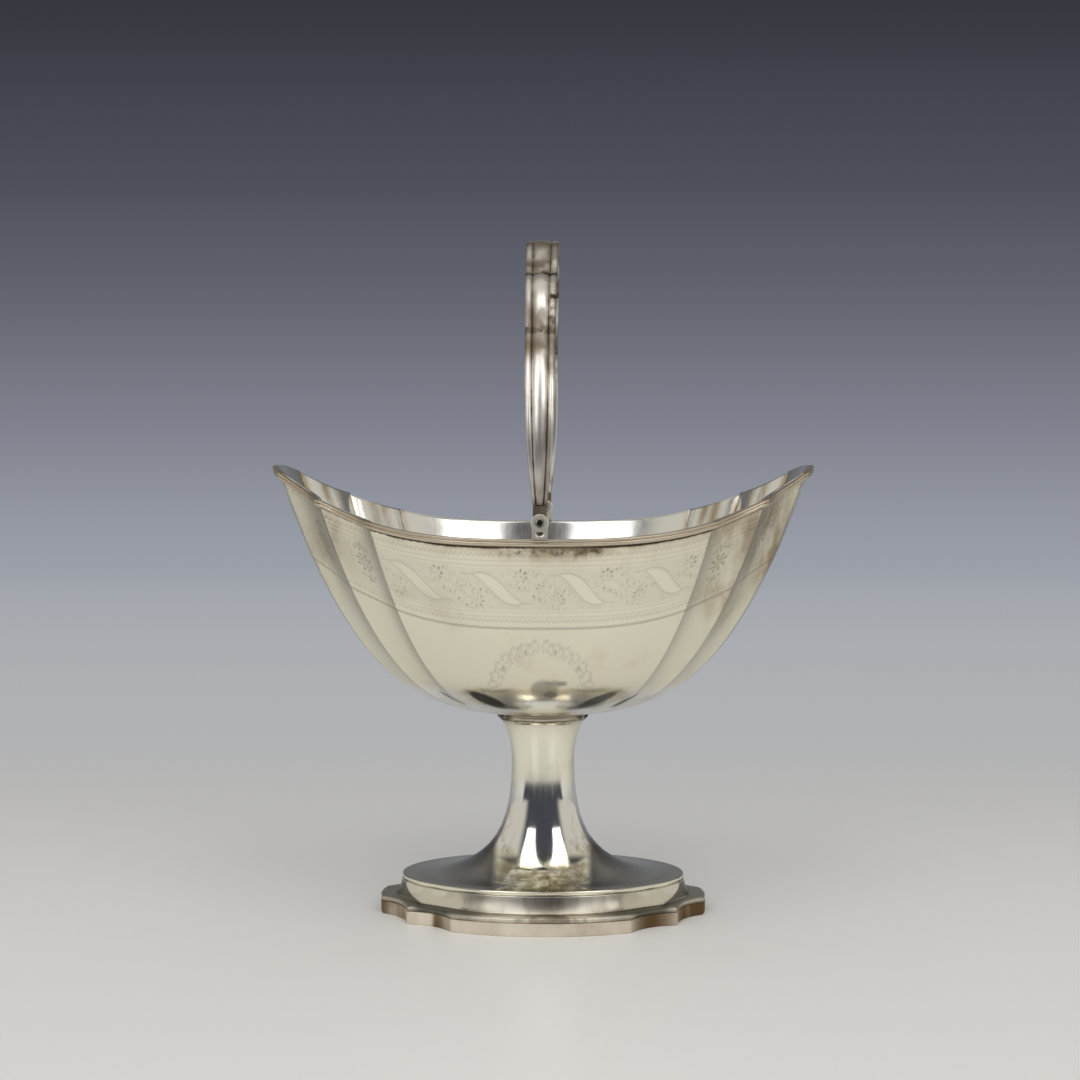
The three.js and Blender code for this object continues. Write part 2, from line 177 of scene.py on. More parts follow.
def mix(start, end, share):
    """Value that far on the way from start to end."""
    return start + (end - start) * share


def full_turn(count):
    """Equal angles once round."""
    return np.linspace(0, 2 * math.pi, count, endpoint=False)


def strongest(*marks):
    """The largest of several marks at each point."""
    return functools.reduce(np.maximum, marks)


# Meshes


def make_piece(name, points, faces, body, node, material, marks, crisp=None):
    """Mesh from points in millimetres, riding on a body in place of its CAD node.

    Edges sharper than crisp degrees stay sharp; all others are smooth.
    """
    mesh = bpy.data.meshes.new(name)
    mesh.from_pydata((points * MM).tolist(), [], [list(face) for face in faces])
    for label, values in marks.items():
        attribute = mesh.attributes.new(label, "FLOAT", "POINT")
        attribute.data.foreach_set("value", np.ascontiguousarray(values, np.float32).ravel())
    mesh.polygons.foreach_set("use_smooth", [True] * len(mesh.polygons))
    mesh.materials.append(material)
    mesh.validate()
    if crisp:
        mesh.set_sharp_from_angle(angle=math.radians(crisp))
    piece = bpy.data.objects.new(name, mesh)
    bpy.context.scene.collection.objects.link(piece)
    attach(piece, body)
    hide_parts(node)


def ring_faces(rows, columns, joined):
    """Quads between neighbouring rings; each ring closes on itself."""
    first = np.arange(rows if joined else rows - 1)[:, None]
    column = np.arange(columns)[None, :]
    following = (column + 1) % columns
    above = (first + 1) % rows
    quad = [
        first * columns + column,
        first * columns + following,
        above * columns + following,
        above * columns + column,
    ]
    return np.stack(np.broadcast_arrays(*quad), -1).reshape(-1, 4)


def face_outwards(points, faces):
    """Turns all faces round if the signed volume shows that they point inwards."""
    total = 0.0
    for corner in range(1, faces.shape[1] - 1):
        a = points[faces[:, 0]]
        b = points[faces[:, corner]]
        c = points[faces[:, corner + 1]]
        total += np.einsum("ij,ij->", a, np.cross(b, c))
    return faces if total > 0 else faces[:, ::-1]


def tube(rings):
    """Closed skin through rings that also join last to first."""
    rows, columns, _ = rings.shape
    points = rings.reshape(-1, 3)
    return points, face_outwards(points, ring_faces(rows, columns, True))


def capped(rings):
    """Closed skin through rings in a row, with a flat face at each end."""
    rows, columns, _ = rings.shape
    points = rings.reshape(-1, 3)
    plain = ring_faces(rows, columns, False)
    faces = face_outwards(points, plain)
    caps = [list(range(columns))[::-1], list(range((rows - 1) * columns, rows * columns))]
    if faces[0, 0] != plain[0, 0]:
        caps = [cap[::-1] for cap in caps]
    return points, faces.tolist() + caps


# Plan outlines


class Outline:
    """Closed plan line: places, outward directions, and where each lies in its panel."""

    def __init__(self, x, y, angle, panel, share):
        self.x, self.y, self.angle, self.panel, self.share = x, y, angle, panel, share
        ahead_x, ahead_y = np.roll(x, -1) - np.roll(x, 1), np.roll(y, -1) - np.roll(y, 1)
        length = np.hypot(ahead_x, ahead_y)
        self.out_x, self.out_y = ahead_y / length, -ahead_x / length
        step = np.hypot(np.roll(x, -1) - x, np.roll(y, -1) - y)
        self.along = np.zeros_like(x)
        for number in np.unique(panel):
            here = panel == number
            gone = np.concatenate([[0.0], np.cumsum(step[here])])
            self.along[here] = gone[:-1] - gone[-1] / 2
        self.count = len(x)


def panelled_outline(half_length, half_width, corner_degrees, flute, spacing):
    """Twelve panels: plain curved ends and sides, hollow flutes between them."""
    corners = [math.radians(a) for a in corner_degrees]
    half = [-corners[0], *corners, *[math.pi - a for a in reversed(corners)]]
    marks = half + [a + math.pi for a in half[1:-1]]
    parts = []
    for number, start in enumerate(marks):
        end = marks[number + 1] if number + 1 < len(marks) else marks[0] + 2 * math.pi
        from_x, from_y = half_length * math.cos(start), half_width * math.sin(start)
        to_x, to_y = half_length * math.cos(end), half_width * math.sin(end)
        chord = math.hypot(to_x - from_x, to_y - from_y)
        count = max(4, round(chord / spacing))
        share = np.arange(count) / count
        angle = start + (end - start) * share
        if number % 3 == 0:
            x, y = half_length * np.cos(angle), half_width * np.sin(angle)
        else:
            out_x, out_y = (to_y - from_y) / chord, -(to_x - from_x) / chord
            hollow = flute * 4 * share * (1 - share)
            x = from_x + (to_x - from_x) * share - out_x * hollow
            y = from_y + (to_y - from_y) * share - out_y * hollow
        parts.append((x, y, angle, np.full(count, number), share))
    return Outline(*[np.concatenate(column) for column in zip(*parts)])


def oval_at(outline, half):
    """Plain oval with a station at each angle of another outline."""
    x, y = half[0] * np.cos(outline.angle), half[1] * np.sin(outline.angle)
    return Outline(x, y, outline.angle, outline.panel, outline.share)


def plain_oval(half):
    """Oval in a single panel, for the stem and its collar."""
    angle = full_turn(OVAL_STATIONS)
    x, y = half[0] * np.cos(angle), half[1] * np.sin(angle)
    return Outline(x, y, angle, np.zeros(OVAL_STATIONS), angle / (2 * math.pi))


def level_ring(line, out, height):
    """Ring of a plan line moved outwards, all at one height."""
    x, y = line.x + line.out_x * out, line.y + line.out_y * out
    return np.stack([x, y, np.full(line.count, float(height))], -1)


def carried_round(line, section):
    """Skin of a section carried round a plan line; its rows are (out, height, recess)."""
    points, faces = tube(np.array([level_ring(line, out, height) for out, height, _ in section]))
    return points, faces, np.repeat([mark for _, _, mark in section], line.count)


# Bowl

bowl_line = panelled_outline(
    BOWL_HALF_LENGTH, BOWL_HALF_WIDTH, BOWL_CORNERS, BOWL_FLUTE, BOWL_SPACING
)


def rim_height(line):
    """The rim line dips in the middle of the sides and sweeps up to the ends."""
    return RIM_MIDDLE + (RIM_TIP - RIM_MIDDLE) * (np.abs(line.x) / BOWL_HALF_LENGTH) ** RIM_SWEEP


def outline_share(height):
    """Share of the full plan outline that the bowl has reached at a height."""
    return ((height - BOWL_BOTTOM) / BOWL_DEPTH) ** (1 / BOWL_FULLNESS)


def bowl_points(line, share, inwards):
    """Points of the bowl wall at a share of the full outline, sunk square to the surface."""
    slope = BOWL_DEPTH * BOWL_FULLNESS * share ** (BOWL_FULLNESS - 1)
    reach = line.x * line.out_x + line.y * line.out_y
    length = np.hypot(slope, reach)
    sideways = -inwards * slope / length
    x = line.x * share + line.out_x * sideways
    y = line.y * share + line.out_y * sideways
    z = BOWL_BOTTOM + BOWL_DEPTH * share**BOWL_FULLNESS + inwards * reach / length
    return np.stack(np.broadcast_arrays(x, y, z), -1)


def wall_points(line, height, outwards):
    """Points beside the bowl's outer face at a height, moved outwards in plan."""
    share = outline_share(height)
    x = line.x * share + line.out_x * outwards
    y = line.y * share + line.out_y * outwards
    return np.stack(np.broadcast_arrays(x, y, height), -1)


# Engraving, drawn along a panel and down from the rim


def near(distance, half_width):
    """1 on a line, falling to 0 at its edge."""
    return np.clip(1 - np.abs(distance) / half_width, 0, 1)


def inside(depth, edge):
    """1 well inside a shape, 0 outside, with a soft edge."""
    return np.clip(depth / edge, 0, 1)


def zigzag(along, across, pitch, height):
    """Distance from a zigzag line."""
    swing = np.abs((along / pitch) % 1 - 0.5) * 2 - 0.5
    lean = math.hypot(1, 2 * height / pitch)
    return (across - swing * height) / lean


def s_line(along, half_length, rise):
    """Line that runs level, dives to the lower right and runs level again."""
    return rise * np.sin(np.clip(along / half_length, -1, 1) * math.pi / 2)


def lance_leaves(along, across, numbers=(-1.5, -0.5, 0.5, 1.5)):
    """Plain leaf bodies, and their cut outlines with a tail running on from each point."""
    body = np.zeros_like(along)
    edge = np.zeros_like(along)
    for number in numbers:
        u = along - number * LEAF_PITCH
        share = np.clip(np.abs(u) / LEAF_HALF_LENGTH, 0, 1)
        steep = LEAF_RISE * math.pi / 2 / LEAF_HALF_LENGTH * np.cos(share * math.pi / 2)
        off = (across - s_line(u, LEAF_HALF_LENGTH, LEAF_RISE)) / np.hypot(1, steep)
        width = LEAF_HALF_WIDTH * (1 - share**1.7)
        on_leaf = np.abs(u) < LEAF_HALF_LENGTH
        body = np.maximum(body, on_leaf * inside(width - np.abs(off), 0.25))
        outline = on_leaf * near(np.abs(off) - width, 0.3)
        tail = near(off, 0.25) * (np.abs(u) < LEAF_HALF_LENGTH + TAIL_LENGTH) * (share >= 1)
        rib = near(off - width - 0.75, 0.22) * (share < 0.85)
        edge = strongest(edge, outline, 0.7 * tail, 0.5 * rib)
    return body, edge


def blossom(u, v, reach, petals, phase):
    """Ring of drop-shaped cuts round a small centre."""
    distance = np.hypot(u, v)
    turn = np.arctan2(v, u) + phase
    sector = (turn * petals / (2 * math.pi)) % 1 - 0.5
    sideways = sector * 2 * math.pi / petals * distance
    drop = inside(0.4 - np.hypot(sideways, (distance - reach) * 0.62), 0.25)
    return np.maximum(drop, 0.7 * inside(0.42 - distance, 0.25))


def scatter(number):
    """Fixed irregular share between 0 and 1 for each number."""
    return (np.sin(number * 12.9898 + 4.1) * 43758.5453) % 1


def pricked_ground(along, across):
    """Fine short ticks in all directions, one to a cell of the ground."""
    column, row = np.floor(along / PRICK_PITCH), np.floor(across / PRICK_PITCH)
    seed = column * 7.13 + row * 31.7
    u = along - (column + 0.3 + 0.4 * scatter(seed)) * PRICK_PITCH
    v = across - (row + 0.3 + 0.4 * scatter(seed + 1)) * PRICK_PITCH
    turn = math.pi * scatter(seed + 2)
    lengthwise = u * np.cos(turn) + v * np.sin(turn)
    sideways = v * np.cos(turn) - u * np.sin(turn)
    bent = sideways - 1.2 * lengthwise**2
    return near(bent, 0.16) * (np.abs(lengthwise) < 0.34) * scatter(seed + 3)


def stalk_line(along):
    """Middle line of a flower spray."""
    return s_line(along, SPRAY_HALF_LENGTH, SPRAY_RISE)


def flower_sprays(along, across, centres):
    """S-shaped sprays: a hair-thin stalk, three blossoms along it and leaflets on both sides."""
    marks = np.zeros_like(along)
    for centre in centres:
        u = along - centre
        stalk = near(across - stalk_line(u), 0.2) * (np.abs(u) < SPRAY_HALF_LENGTH)
        marks = np.maximum(marks, 0.35 * stalk)
        for number, (at, petals, reach, strength) in enumerate(SPRAY_FLOWERS):
            odd = float(scatter(centre + 3.7 * number)) - 0.5
            level = stalk_line(at) - 0.25 + 0.6 * odd
            fading = 0.62 + 0.38 * np.cos(np.arctan2(across - level, u - at) - 5 * odd)
            reach *= 1 + 0.25 * odd
            flower = blossom(u - at - 0.9 * odd, across - level, reach, petals, 6 * odd)
            marks = np.maximum(marks, (strength - 0.3 * odd) * fading * flower)
        for number in range(SPRAY_LEAFLETS):
            odd = float(scatter(centre * 1.7 + number))
            share = (number + 0.6 * odd) / SPRAY_LEAFLETS
            at = mix(-LEAFLET_SPREAD, LEAFLET_SPREAD, share)
            side = 1 if number % 2 else -1
            level = stalk_line(at) + side * mix(1.7, 3.1, odd)
            dot = inside(0.3 + 0.12 * odd - np.hypot(u - at, (across - level) * 0.8), 0.25)
            curl = near(np.hypot(u - at - 0.6, across - level) - 0.75, 0.18)
            curl = curl * (across * side > level * side - 0.35)
            marks = strongest(marks, mix(0.35, 0.8, odd) * dot, 0.42 * curl)
    return marks


def rosette(along, across, reach):
    """Eight-petalled flower with leaflets above and below."""
    marks = blossom(along, across, reach * 0.75, 8, 0.0)
    marks = np.maximum(marks, 0.8 * blossom(along, across, reach * 0.42, 6, 0.3))
    for level in (-reach - 1.5, reach + 1.5):
        marks = np.maximum(marks, 0.8 * blossom(along, across - level, 0.8, 4, 0.4))
        for place in (-1.7, 1.7):
            dot = np.hypot(along - place, (across - level * 0.86) * 0.7)
            marks = np.maximum(marks, 0.6 * inside(0.45 - dot, 0.25))
    return marks


def band_marks(line, depth):
    """Depth of the cut lines, and the dull ground between plain shapes, by depth below the rim."""
    along = np.broadcast_to(line.along * PATTERN_SCALE, depth.shape)
    panel = np.broadcast_to(line.panel, depth.shape)
    across = depth - FRIEZE_MIDDLE
    cut = 0.75 * near(depth - LOWER_BORDER[1], 0.55)
    for level in (FRIEZE[0] - 1.15, FRIEZE[0] + 0.1, FRIEZE[1] - 0.1, FRIEZE[1] + 1.1):
        cut = np.maximum(cut, 0.3 * near(depth - level, 0.28))
    for row in (mix(*UPPER_BORDER, 0.38), mix(*LOWER_BORDER, 0.52)):
        border = near(zigzag(along, depth - row, ZIGZAG_PITCH, ZIGZAG_HEIGHT), 0.26)
        cut = np.maximum(cut, 0.42 * border)
    in_frieze = inside(depth - FRIEZE[0] - 0.5, 0.3) * inside(FRIEZE[1] - 0.5 - depth, 0.3)
    is_side = (panel % 6) == 3
    is_end = (panel % 6) == 0
    body, edge = lance_leaves(along, across)
    sprays = flower_sprays(along, across, [number * LEAF_PITCH for number in range(-2, 3)])
    side_cut = np.maximum(0.5 * edge, sprays * (1 - body))
    narrow_cut = rosette(along, across, ROSETTE_REACH)
    end_body, end_edge = lance_leaves(along, across, (0,))
    end_sprays = flower_sprays(along, across, (-LEAF_PITCH / 2 - 0.5, LEAF_PITCH / 2 + 0.5))
    end_cut = np.maximum(0.5 * end_edge, end_sprays * (1 - end_body))
    figure = np.where(is_side, side_cut, np.where(is_end, end_cut, narrow_cut))
    plain = np.where(is_side, body, np.where(is_end, end_body, 0.0))
    figure = np.maximum(figure, 0.5 * pricked_ground(along, across) * (1 - plain))
    return np.maximum(cut, figure * in_frieze), in_frieze * (1 - plain)


def wreath_marks(points):
    """Ring of small leaves round a bare oval, low on the front and back panels."""
    x, y, z = points[..., 0], points[..., 1], points[..., 2]
    turn = np.arctan2(z - WREATH_MIDDLE, x)
    leaf = (turn * WREATH_PAIRS / math.pi) % 1 - 0.5
    ring = np.hypot(x, z - WREATH_MIDDLE) - (WREATH_RADIUS - 1.4)
    sideways = leaf * WREATH_PITCH
    between = np.hypot((0.5 - np.abs(leaf)) * WREATH_PITCH, ring - 0.9)
    marks = strongest(
        0.5 * near(np.hypot(sideways, ring * 0.62) - 0.95, 0.3),
        0.45 * near(ring + 1.75, 0.2),
        0.75 * inside(0.5 - np.hypot(sideways, ring + 0.7), 0.25),
        0.6 * inside(0.42 - between, 0.25),
    )
    return 0.9 * marks * (np.abs(y) > 12) * inside(z - WREATH_MIDDLE + 2, 5)


# Brown patches left by handling: middle (x, z), reach (x, z) and strength
BOWL_STAINS = (
    ((55.0, 103.0), (14.0, 11.0), 1.0),
    ((46.0, 87.0), (7.0, 9.0), 0.75),
    ((-55.0, 101.0), (7.0, 11.0), 0.8),
    ((-47.0, 99.0), (5.0, 6.0), 0.5),
    ((2.0, 100.8), (9.0, 2.2), 0.8),
    ((-15.0, 61.0), (9.0, 2.6), 0.7),
    ((17.0, 61.0), (10.0, 2.8), 0.7),
    ((60.5, 102.0), (5.5, 12.0), 1.7),
    ((0.0, 56.0), (14.0, 1.6), 1.0),
)

# Painted dark reflections under the bowl: middle (x, z), reach (x, z), rise per millimetre along x,
# strength
BOWL_PAINTED_REFLECTIONS = (
    ((-14.0, 61.2), (5.2, 1.6), -0.42, 1.0),
    ((-23.6, 60.8), (3.4, 0.6), -0.5, 0.7),
    ((14.4, 61.2), (5.6, 1.25), 0.42, 0.85),
    ((21.6, 60.2), (3.6, 0.6), 0.5, 0.85),
    ((0.8, 64.6), (3.6, 2.8), 0.0, 0.45),
    ((3.6, 66.4), (3.2, 0.9), 0.0, 0.55),
    ((2.2, 63.2), (2.0, 1.0), 0.0, 0.75),
)


def bowl_rows():
    """Depths of the mesh rows below the rim, finest where the borders are cut."""
    top = [0.15, 0.8, 1.5, 2.0]
    upper_border = np.arange(2.3, 6.9, 0.22)
    frieze = np.arange(6.95, 18.5, 0.3)
    lower_border = np.arange(18.5, 23.4, 0.22)
    return np.concatenate([top, upper_border, frieze, lower_border])


def crowded_rows(count):
    """Shares from the wall's height down to its middle, closer together at the top."""
    return (np.arange(count, 0, -1) / (count + 1))[:, None] ** ROW_CROWDING


def bowl_tones(line, depth, share, wall):
    """Marks on the outer wall, in rows from the rim down: film, stain, painted shade and
    reflections.
    """
    is_flute = line.panel % 3 != 0
    every_row = np.ones_like(share)
    under_rim = np.exp(-(depth - 2.1).clip(0) / 0.4) + 0.6 * np.exp(-(depth - 1.8).clip(0) / 2.0)
    beside_lug = inside(24 - np.abs(line.x - 3), 12)
    pitted = 0.9 * beside_lug * inside(4.4 + 1.5 * scatter(np.floor(line.x / 1.3)) - depth, 1.6)
    recess = np.exp(-(share - 0.17).clip(0) / 0.04)
    top = slice(0, len(depth))
    recess[top] = strongest(recess[top], under_rim, pitted)
    from_side = np.where(line.panel % 6 < 3, 1 - line.share, line.share)
    # hollow: painted shade in the flutes beside the front and back panels, stronger on the left
    hollow = is_flute * inside(1 - from_side / 0.42, 1.0) * inside(from_side, 0.05)
    hollow = hollow * np.where(line.x < 0, 1.0, 0.55) * every_row
    stain = np.zeros_like(share)
    for (x, z), (reach_x, reach_z), strength in BOWL_STAINS:
        away = [(wall[..., 0] - x) / reach_x, (wall[..., 2] - z) / reach_z]
        stain = np.maximum(stain, strength * np.exp(-away[0] ** 2 - away[1] ** 2))
    # shade: painted shade over every flute, and the painted dark reflections under the bowl
    shade = 0.06 * is_flute * every_row
    for (x, z), (reach_x, reach_z), rise, strength in BOWL_PAINTED_REFLECTIONS:
        aside = wall[..., 0] - x
        away = np.hypot(aside / reach_x, (wall[..., 2] - z - rise * aside) / reach_z)
        shade = np.maximum(shade, strength * inside(1.15 - away, 0.35))
    # neutral: whiter painted reflection tone low on the underside
    return {"recess": recess, "stain": stain, "shade": shade, "dull": 0 * share,
            "hollow": hollow, "neutral": 0.9 * inside(64.5 - wall[..., 2], 3)}


def creases(line):
    """Brown lines inside the bowl where its panels meet, and up the flutes beside them."""
    reach = [np.abs(line.along[line.panel == number]).max() for number in line.panel]
    to_corner = np.array(reach) - np.abs(line.along)
    beside = np.exp(-(((to_corner - 7) / 1.8) ** 2))
    return np.exp(-((to_corner / 1.5) ** 2)) + 0.6 * (line.panel % 3 != 0) * beside


def build_bowl(material):
    """One skin: outer wall with its cuts, plain lip and inner wall, a fan closing each end."""
    line = bowl_line
    rim = rim_height(line)
    depth = bowl_rows()[:, None] * np.ones(line.count)
    upper_share = outline_share(rim - depth)
    lower = crowded_rows(LOWER_ROWS) * upper_share[-1]
    share = np.concatenate([upper_share, lower])
    wall = bowl_points(line, share, 0.0)
    cut, ground = [np.concatenate([rows, 0 * lower]) for rows in band_marks(line, depth)]
    cut = np.maximum(cut, wreath_marks(wall))
    outer = bowl_points(line, share, cut * CUT_DEPTH)
    inner_share = np.concatenate([
        outline_share(rim - np.array([0.3, 0.9, 2.0, 4.0])[:, None]),
        crowded_rows(INNER_ROWS) * outline_share(rim - 5.5),
    ])
    inner = bowl_points(line, inner_share, BOWL_SHEET)
    inner[0, :, 2] = np.minimum(inner[0, :, 2], rim - 0.1)
    lip = bowl_points(line, outline_share(rim - 0.02), np.array([[0.2], [0.75]]))
    lip[..., 2] = rim
    rings = np.concatenate([outer[::-1], lip, inner])
    rows, columns, _ = rings.shape
    hubs = np.array([[0, 0, BOWL_BOTTOM], [0, 0, BOWL_BOTTOM + BOWL_SHEET]])
    points = np.concatenate([rings.reshape(-1, 3), hubs])
    column = np.arange(columns)
    following = (column + 1) % columns
    hub = np.full(columns, rows * columns)
    last = (rows - 1) * columns
    faces = ring_faces(rows, columns, False).tolist()
    faces += np.stack([following, column, hub], -1).tolist()
    faces += np.stack([last + column, last + following, hub + 1], -1).tolist()

    tones = {"cut": cut, "ground": ground, **bowl_tones(line, depth, share, wall)}
    # Inside: brown lines along the creases, and the whiter painted reflection tone all over
    inside_tones = {"stain": 1.5 * creases(line), "neutral": 1.0}
    rest = np.zeros((len(lip) + len(inner), columns))
    marks = {}
    for label, outer_rows in tones.items():
        inner_rows = rest + inside_tones.get(label, 0.0)
        marks[label] = np.append(np.concatenate([outer_rows[::-1], inner_rows]), [0.0, 0.0])
    make_piece("bowl", points, faces, "basket", "bowl_shell", material, marks)


# Moulding, stem and foot


def build_moulding(material):
    """Wire of two beads, a large one under a small one, in the line of the rim."""
    line = panelled_outline(BOWL_HALF_LENGTH, BOWL_HALF_WIDTH, BOWL_CORNERS, BOWL_FLUTE,
                             MOULDING_SPACING)
    section = [(0.0, 0.0, 0.9)]
    for from_turn, to_turn, out, bulge, middle, half, film in MOULDING_BEADS:
        for a in np.radians(np.linspace(from_turn, to_turn, 10)):
            reach = JOINT_GAP + MOULDING_PROJECTION * (out + bulge * math.cos(a))
            section.append((reach, middle + half * math.sin(a), film * (1 - math.cos(a))))
    section.append((0.0, 1.0, 0.4))
    rim = rim_height(line)
    rings = [wall_points(line, rim - (1 - up) * MOULDING_HEIGHT, out) for out, up, _ in section]
    points, faces = tube(np.array(rings))
    recess = np.repeat([mark for _, _, mark in section], line.count)
    make_piece("moulding", points, faces, "basket", "rim_moulding",
               material, {"recess": recess})


def bezier(controls, share):
    """Point and direction on a cubic curve of half sizes and height."""
    p = np.array(controls, float)
    t = np.asarray(share, float)[:, None]
    left = 1 - t
    place = left**3 * p[0] + 3 * left**2 * t * p[1] + 3 * left * t**2 * p[2] + t**3 * p[3]
    way = left**2 * (p[1] - p[0]) + 2 * left * t * (p[2] - p[1]) + t**2 * (p[3] - p[2])
    return place, way


STEM_LOWER = (
    (*FLANGE_HALF, FLANGE_HEIGHT),
    (*FLARE_HALF, FLANGE_HEIGHT),
    (*WAIST_HALF, mix(FLANGE_HEIGHT, WAIST_HEIGHT, FLARE_SHARE)),
    (*WAIST_HALF, WAIST_HEIGHT),
)
STEM_UPPER = (
    (*WAIST_HALF, WAIST_HEIGHT),
    (*WAIST_HALF, mix(WAIST_HEIGHT, STEM_TOP, NECK_SHARE)),
    (
        mix(WAIST_HALF[0], STEM_TOP_HALF[0], NECK_SHARE),
        mix(WAIST_HALF[1], STEM_TOP_HALF[1], NECK_SHARE),
        mix(WAIST_HEIGHT, STEM_TOP, 1 - NECK_SHARE / 3),
    ),
    (*STEM_TOP_HALF, STEM_TOP),
)
STEM_CURVES = ((STEM_LOWER, np.linspace(0, 1, 56)), (STEM_UPPER, np.linspace(0, 1, 20)[1:]))


def stem_rings(inwards):
    """Rings of the stem from the dish up, sunk square to the surface."""
    angle = full_turn(OVAL_STATIONS)
    cos, sin = np.cos(angle), np.sin(angle)
    rings = []
    for controls, shares in STEM_CURVES:
        for half, way in zip(*bezier(controls, shares)):
            across = np.stack([-half[0] * sin, half[1] * cos, 0 * cos], -1)
            up = np.stack([way[0] * cos, way[1] * sin, way[2] + 0 * cos], -1)
            outward = np.cross(across, up)
            outward /= np.linalg.norm(outward, axis=1, keepdims=True)
            place = np.stack([half[0] * cos, half[1] * sin, half[2] + 0 * cos], -1)
            rings.append(place - outward * inwards)
    return np.array(rings)


def build_stem(material):
    """Trumpet stem: a rolled edge round the dish, and one sheet of wall up to the collar."""
    outer, inner = stem_rings(0.0), stem_rings(STEM_SHEET)
    inner[0, :, 2] = FLANGE_HEIGHT - STEM_SHEET
    inner[-1, :, 2] = STEM_TOP
    edge = [(-0.5, STEP_TOP - 0.12), (-0.04, STEP_TOP + 0.08)]
    for a in np.radians(np.linspace(0, 90, 9)):
        drop = FLANGE_ROLL * (1 - math.sin(a))
        edge.append((-FLANGE_ROLL * (1 - math.cos(a)), FLANGE_HEIGHT - drop))
    flange = plain_oval(FLANGE_HALF)
    rolled = [level_ring(flange, out, z) for out, z in edge]
    ends = np.stack([outer[-1], inner[-1]])
    ends[..., 2] = COLLAR_BOTTOM
    points, faces = tube(np.concatenate([rolled, outer[1:], ends, inner[::-1]]))
    aside, height = np.abs(points[:, 0]), points[:, 2]
    on_dish = height > FLANGE_HEIGHT - 0.05
    under_dish = height < FLANGE_HEIGHT - 0.3
    dish_middle = inside(17 - height, 3) * inside(14 - aside, 4) * on_dish
    waist_sides = inside(aside - 6, 3) * inside(height - 16, 2) * inside(37 - height, 3)
    # dish_ends: painted dark reflections at the two ends of the dish, dulled and in the whiter
    # painted reflection tone
    dish_ends = inside(aside - 11.8, 1.6) * inside(24 - height, 7)
    dish_ends = dish_ends * inside(height - FLANGE_HEIGHT + 0.01, 0.3)
    marks = {
        "recess": np.maximum(np.exp(-(STEM_TOP - height).clip(0) / 1.2), 0.15 * under_dish),
        "stain": np.maximum(dish_middle, 0.7 * waist_sides),
        "shade": dish_ends * np.maximum(0.88 * inside(33 - aside, 20), 0.2),
        "dull": dish_ends,
        # Whiter painted reflection tone round the lower stem and on the dish ends
        "neutral": np.maximum(inside(38 - height, 6) * inside(height - 17, 2), dish_ends),
    }
    make_piece("stem", points, faces, "basket", "foot_stem", material, marks)


def build_collar(material):
    """Half-round wire ring at the joint of bowl and stem, darkest with solder at the sides."""
    low, high = COLLAR_BOTTOM - JOINT_GAP * 0.5, BOWL_BOTTOM + 0.15
    section = [(-STEM_SHEET, low, 0.0)]
    for a in np.radians(np.linspace(-90, 90, 13)):
        height = mix(low, high, 0.5 + 0.5 * math.sin(a))
        section.append((COLLAR_PROJECTION * math.cos(a), height, 1 - math.cos(a) * 0.8))
    section.append((-STEM_SHEET, high, 0.0))
    points, faces, recess = carried_round(plain_oval(STEM_TOP_HALF), section)
    recess = np.maximum(recess, 0.95 * inside(np.abs(points[:, 0]) - 6, 4))
    make_piece("collar", points, faces, "basket", "stem_collar", material,
               {"recess": recess})


foot_line = panelled_outline(
    FOOT_HALF_LENGTH, FOOT_HALF_WIDTH, FOOT_CORNERS, FOOT_FLUTE, FOOT_SPACING
)


def foot_ring(share, out, height, tuck):
    """Ring between the plain oval of the step (0) and the scalloped edge (1).

    tuck draws in the ends of the oval.
    """
    oval = oval_at(foot_line, (FLANGE_HALF[0] - tuck, FLANGE_HALF[1] - tuck * 0.08))
    inner = level_ring(oval, out * (1 - share), height)
    outer = level_ring(foot_line, out * share, height)
    return mix(inner, outer, share)


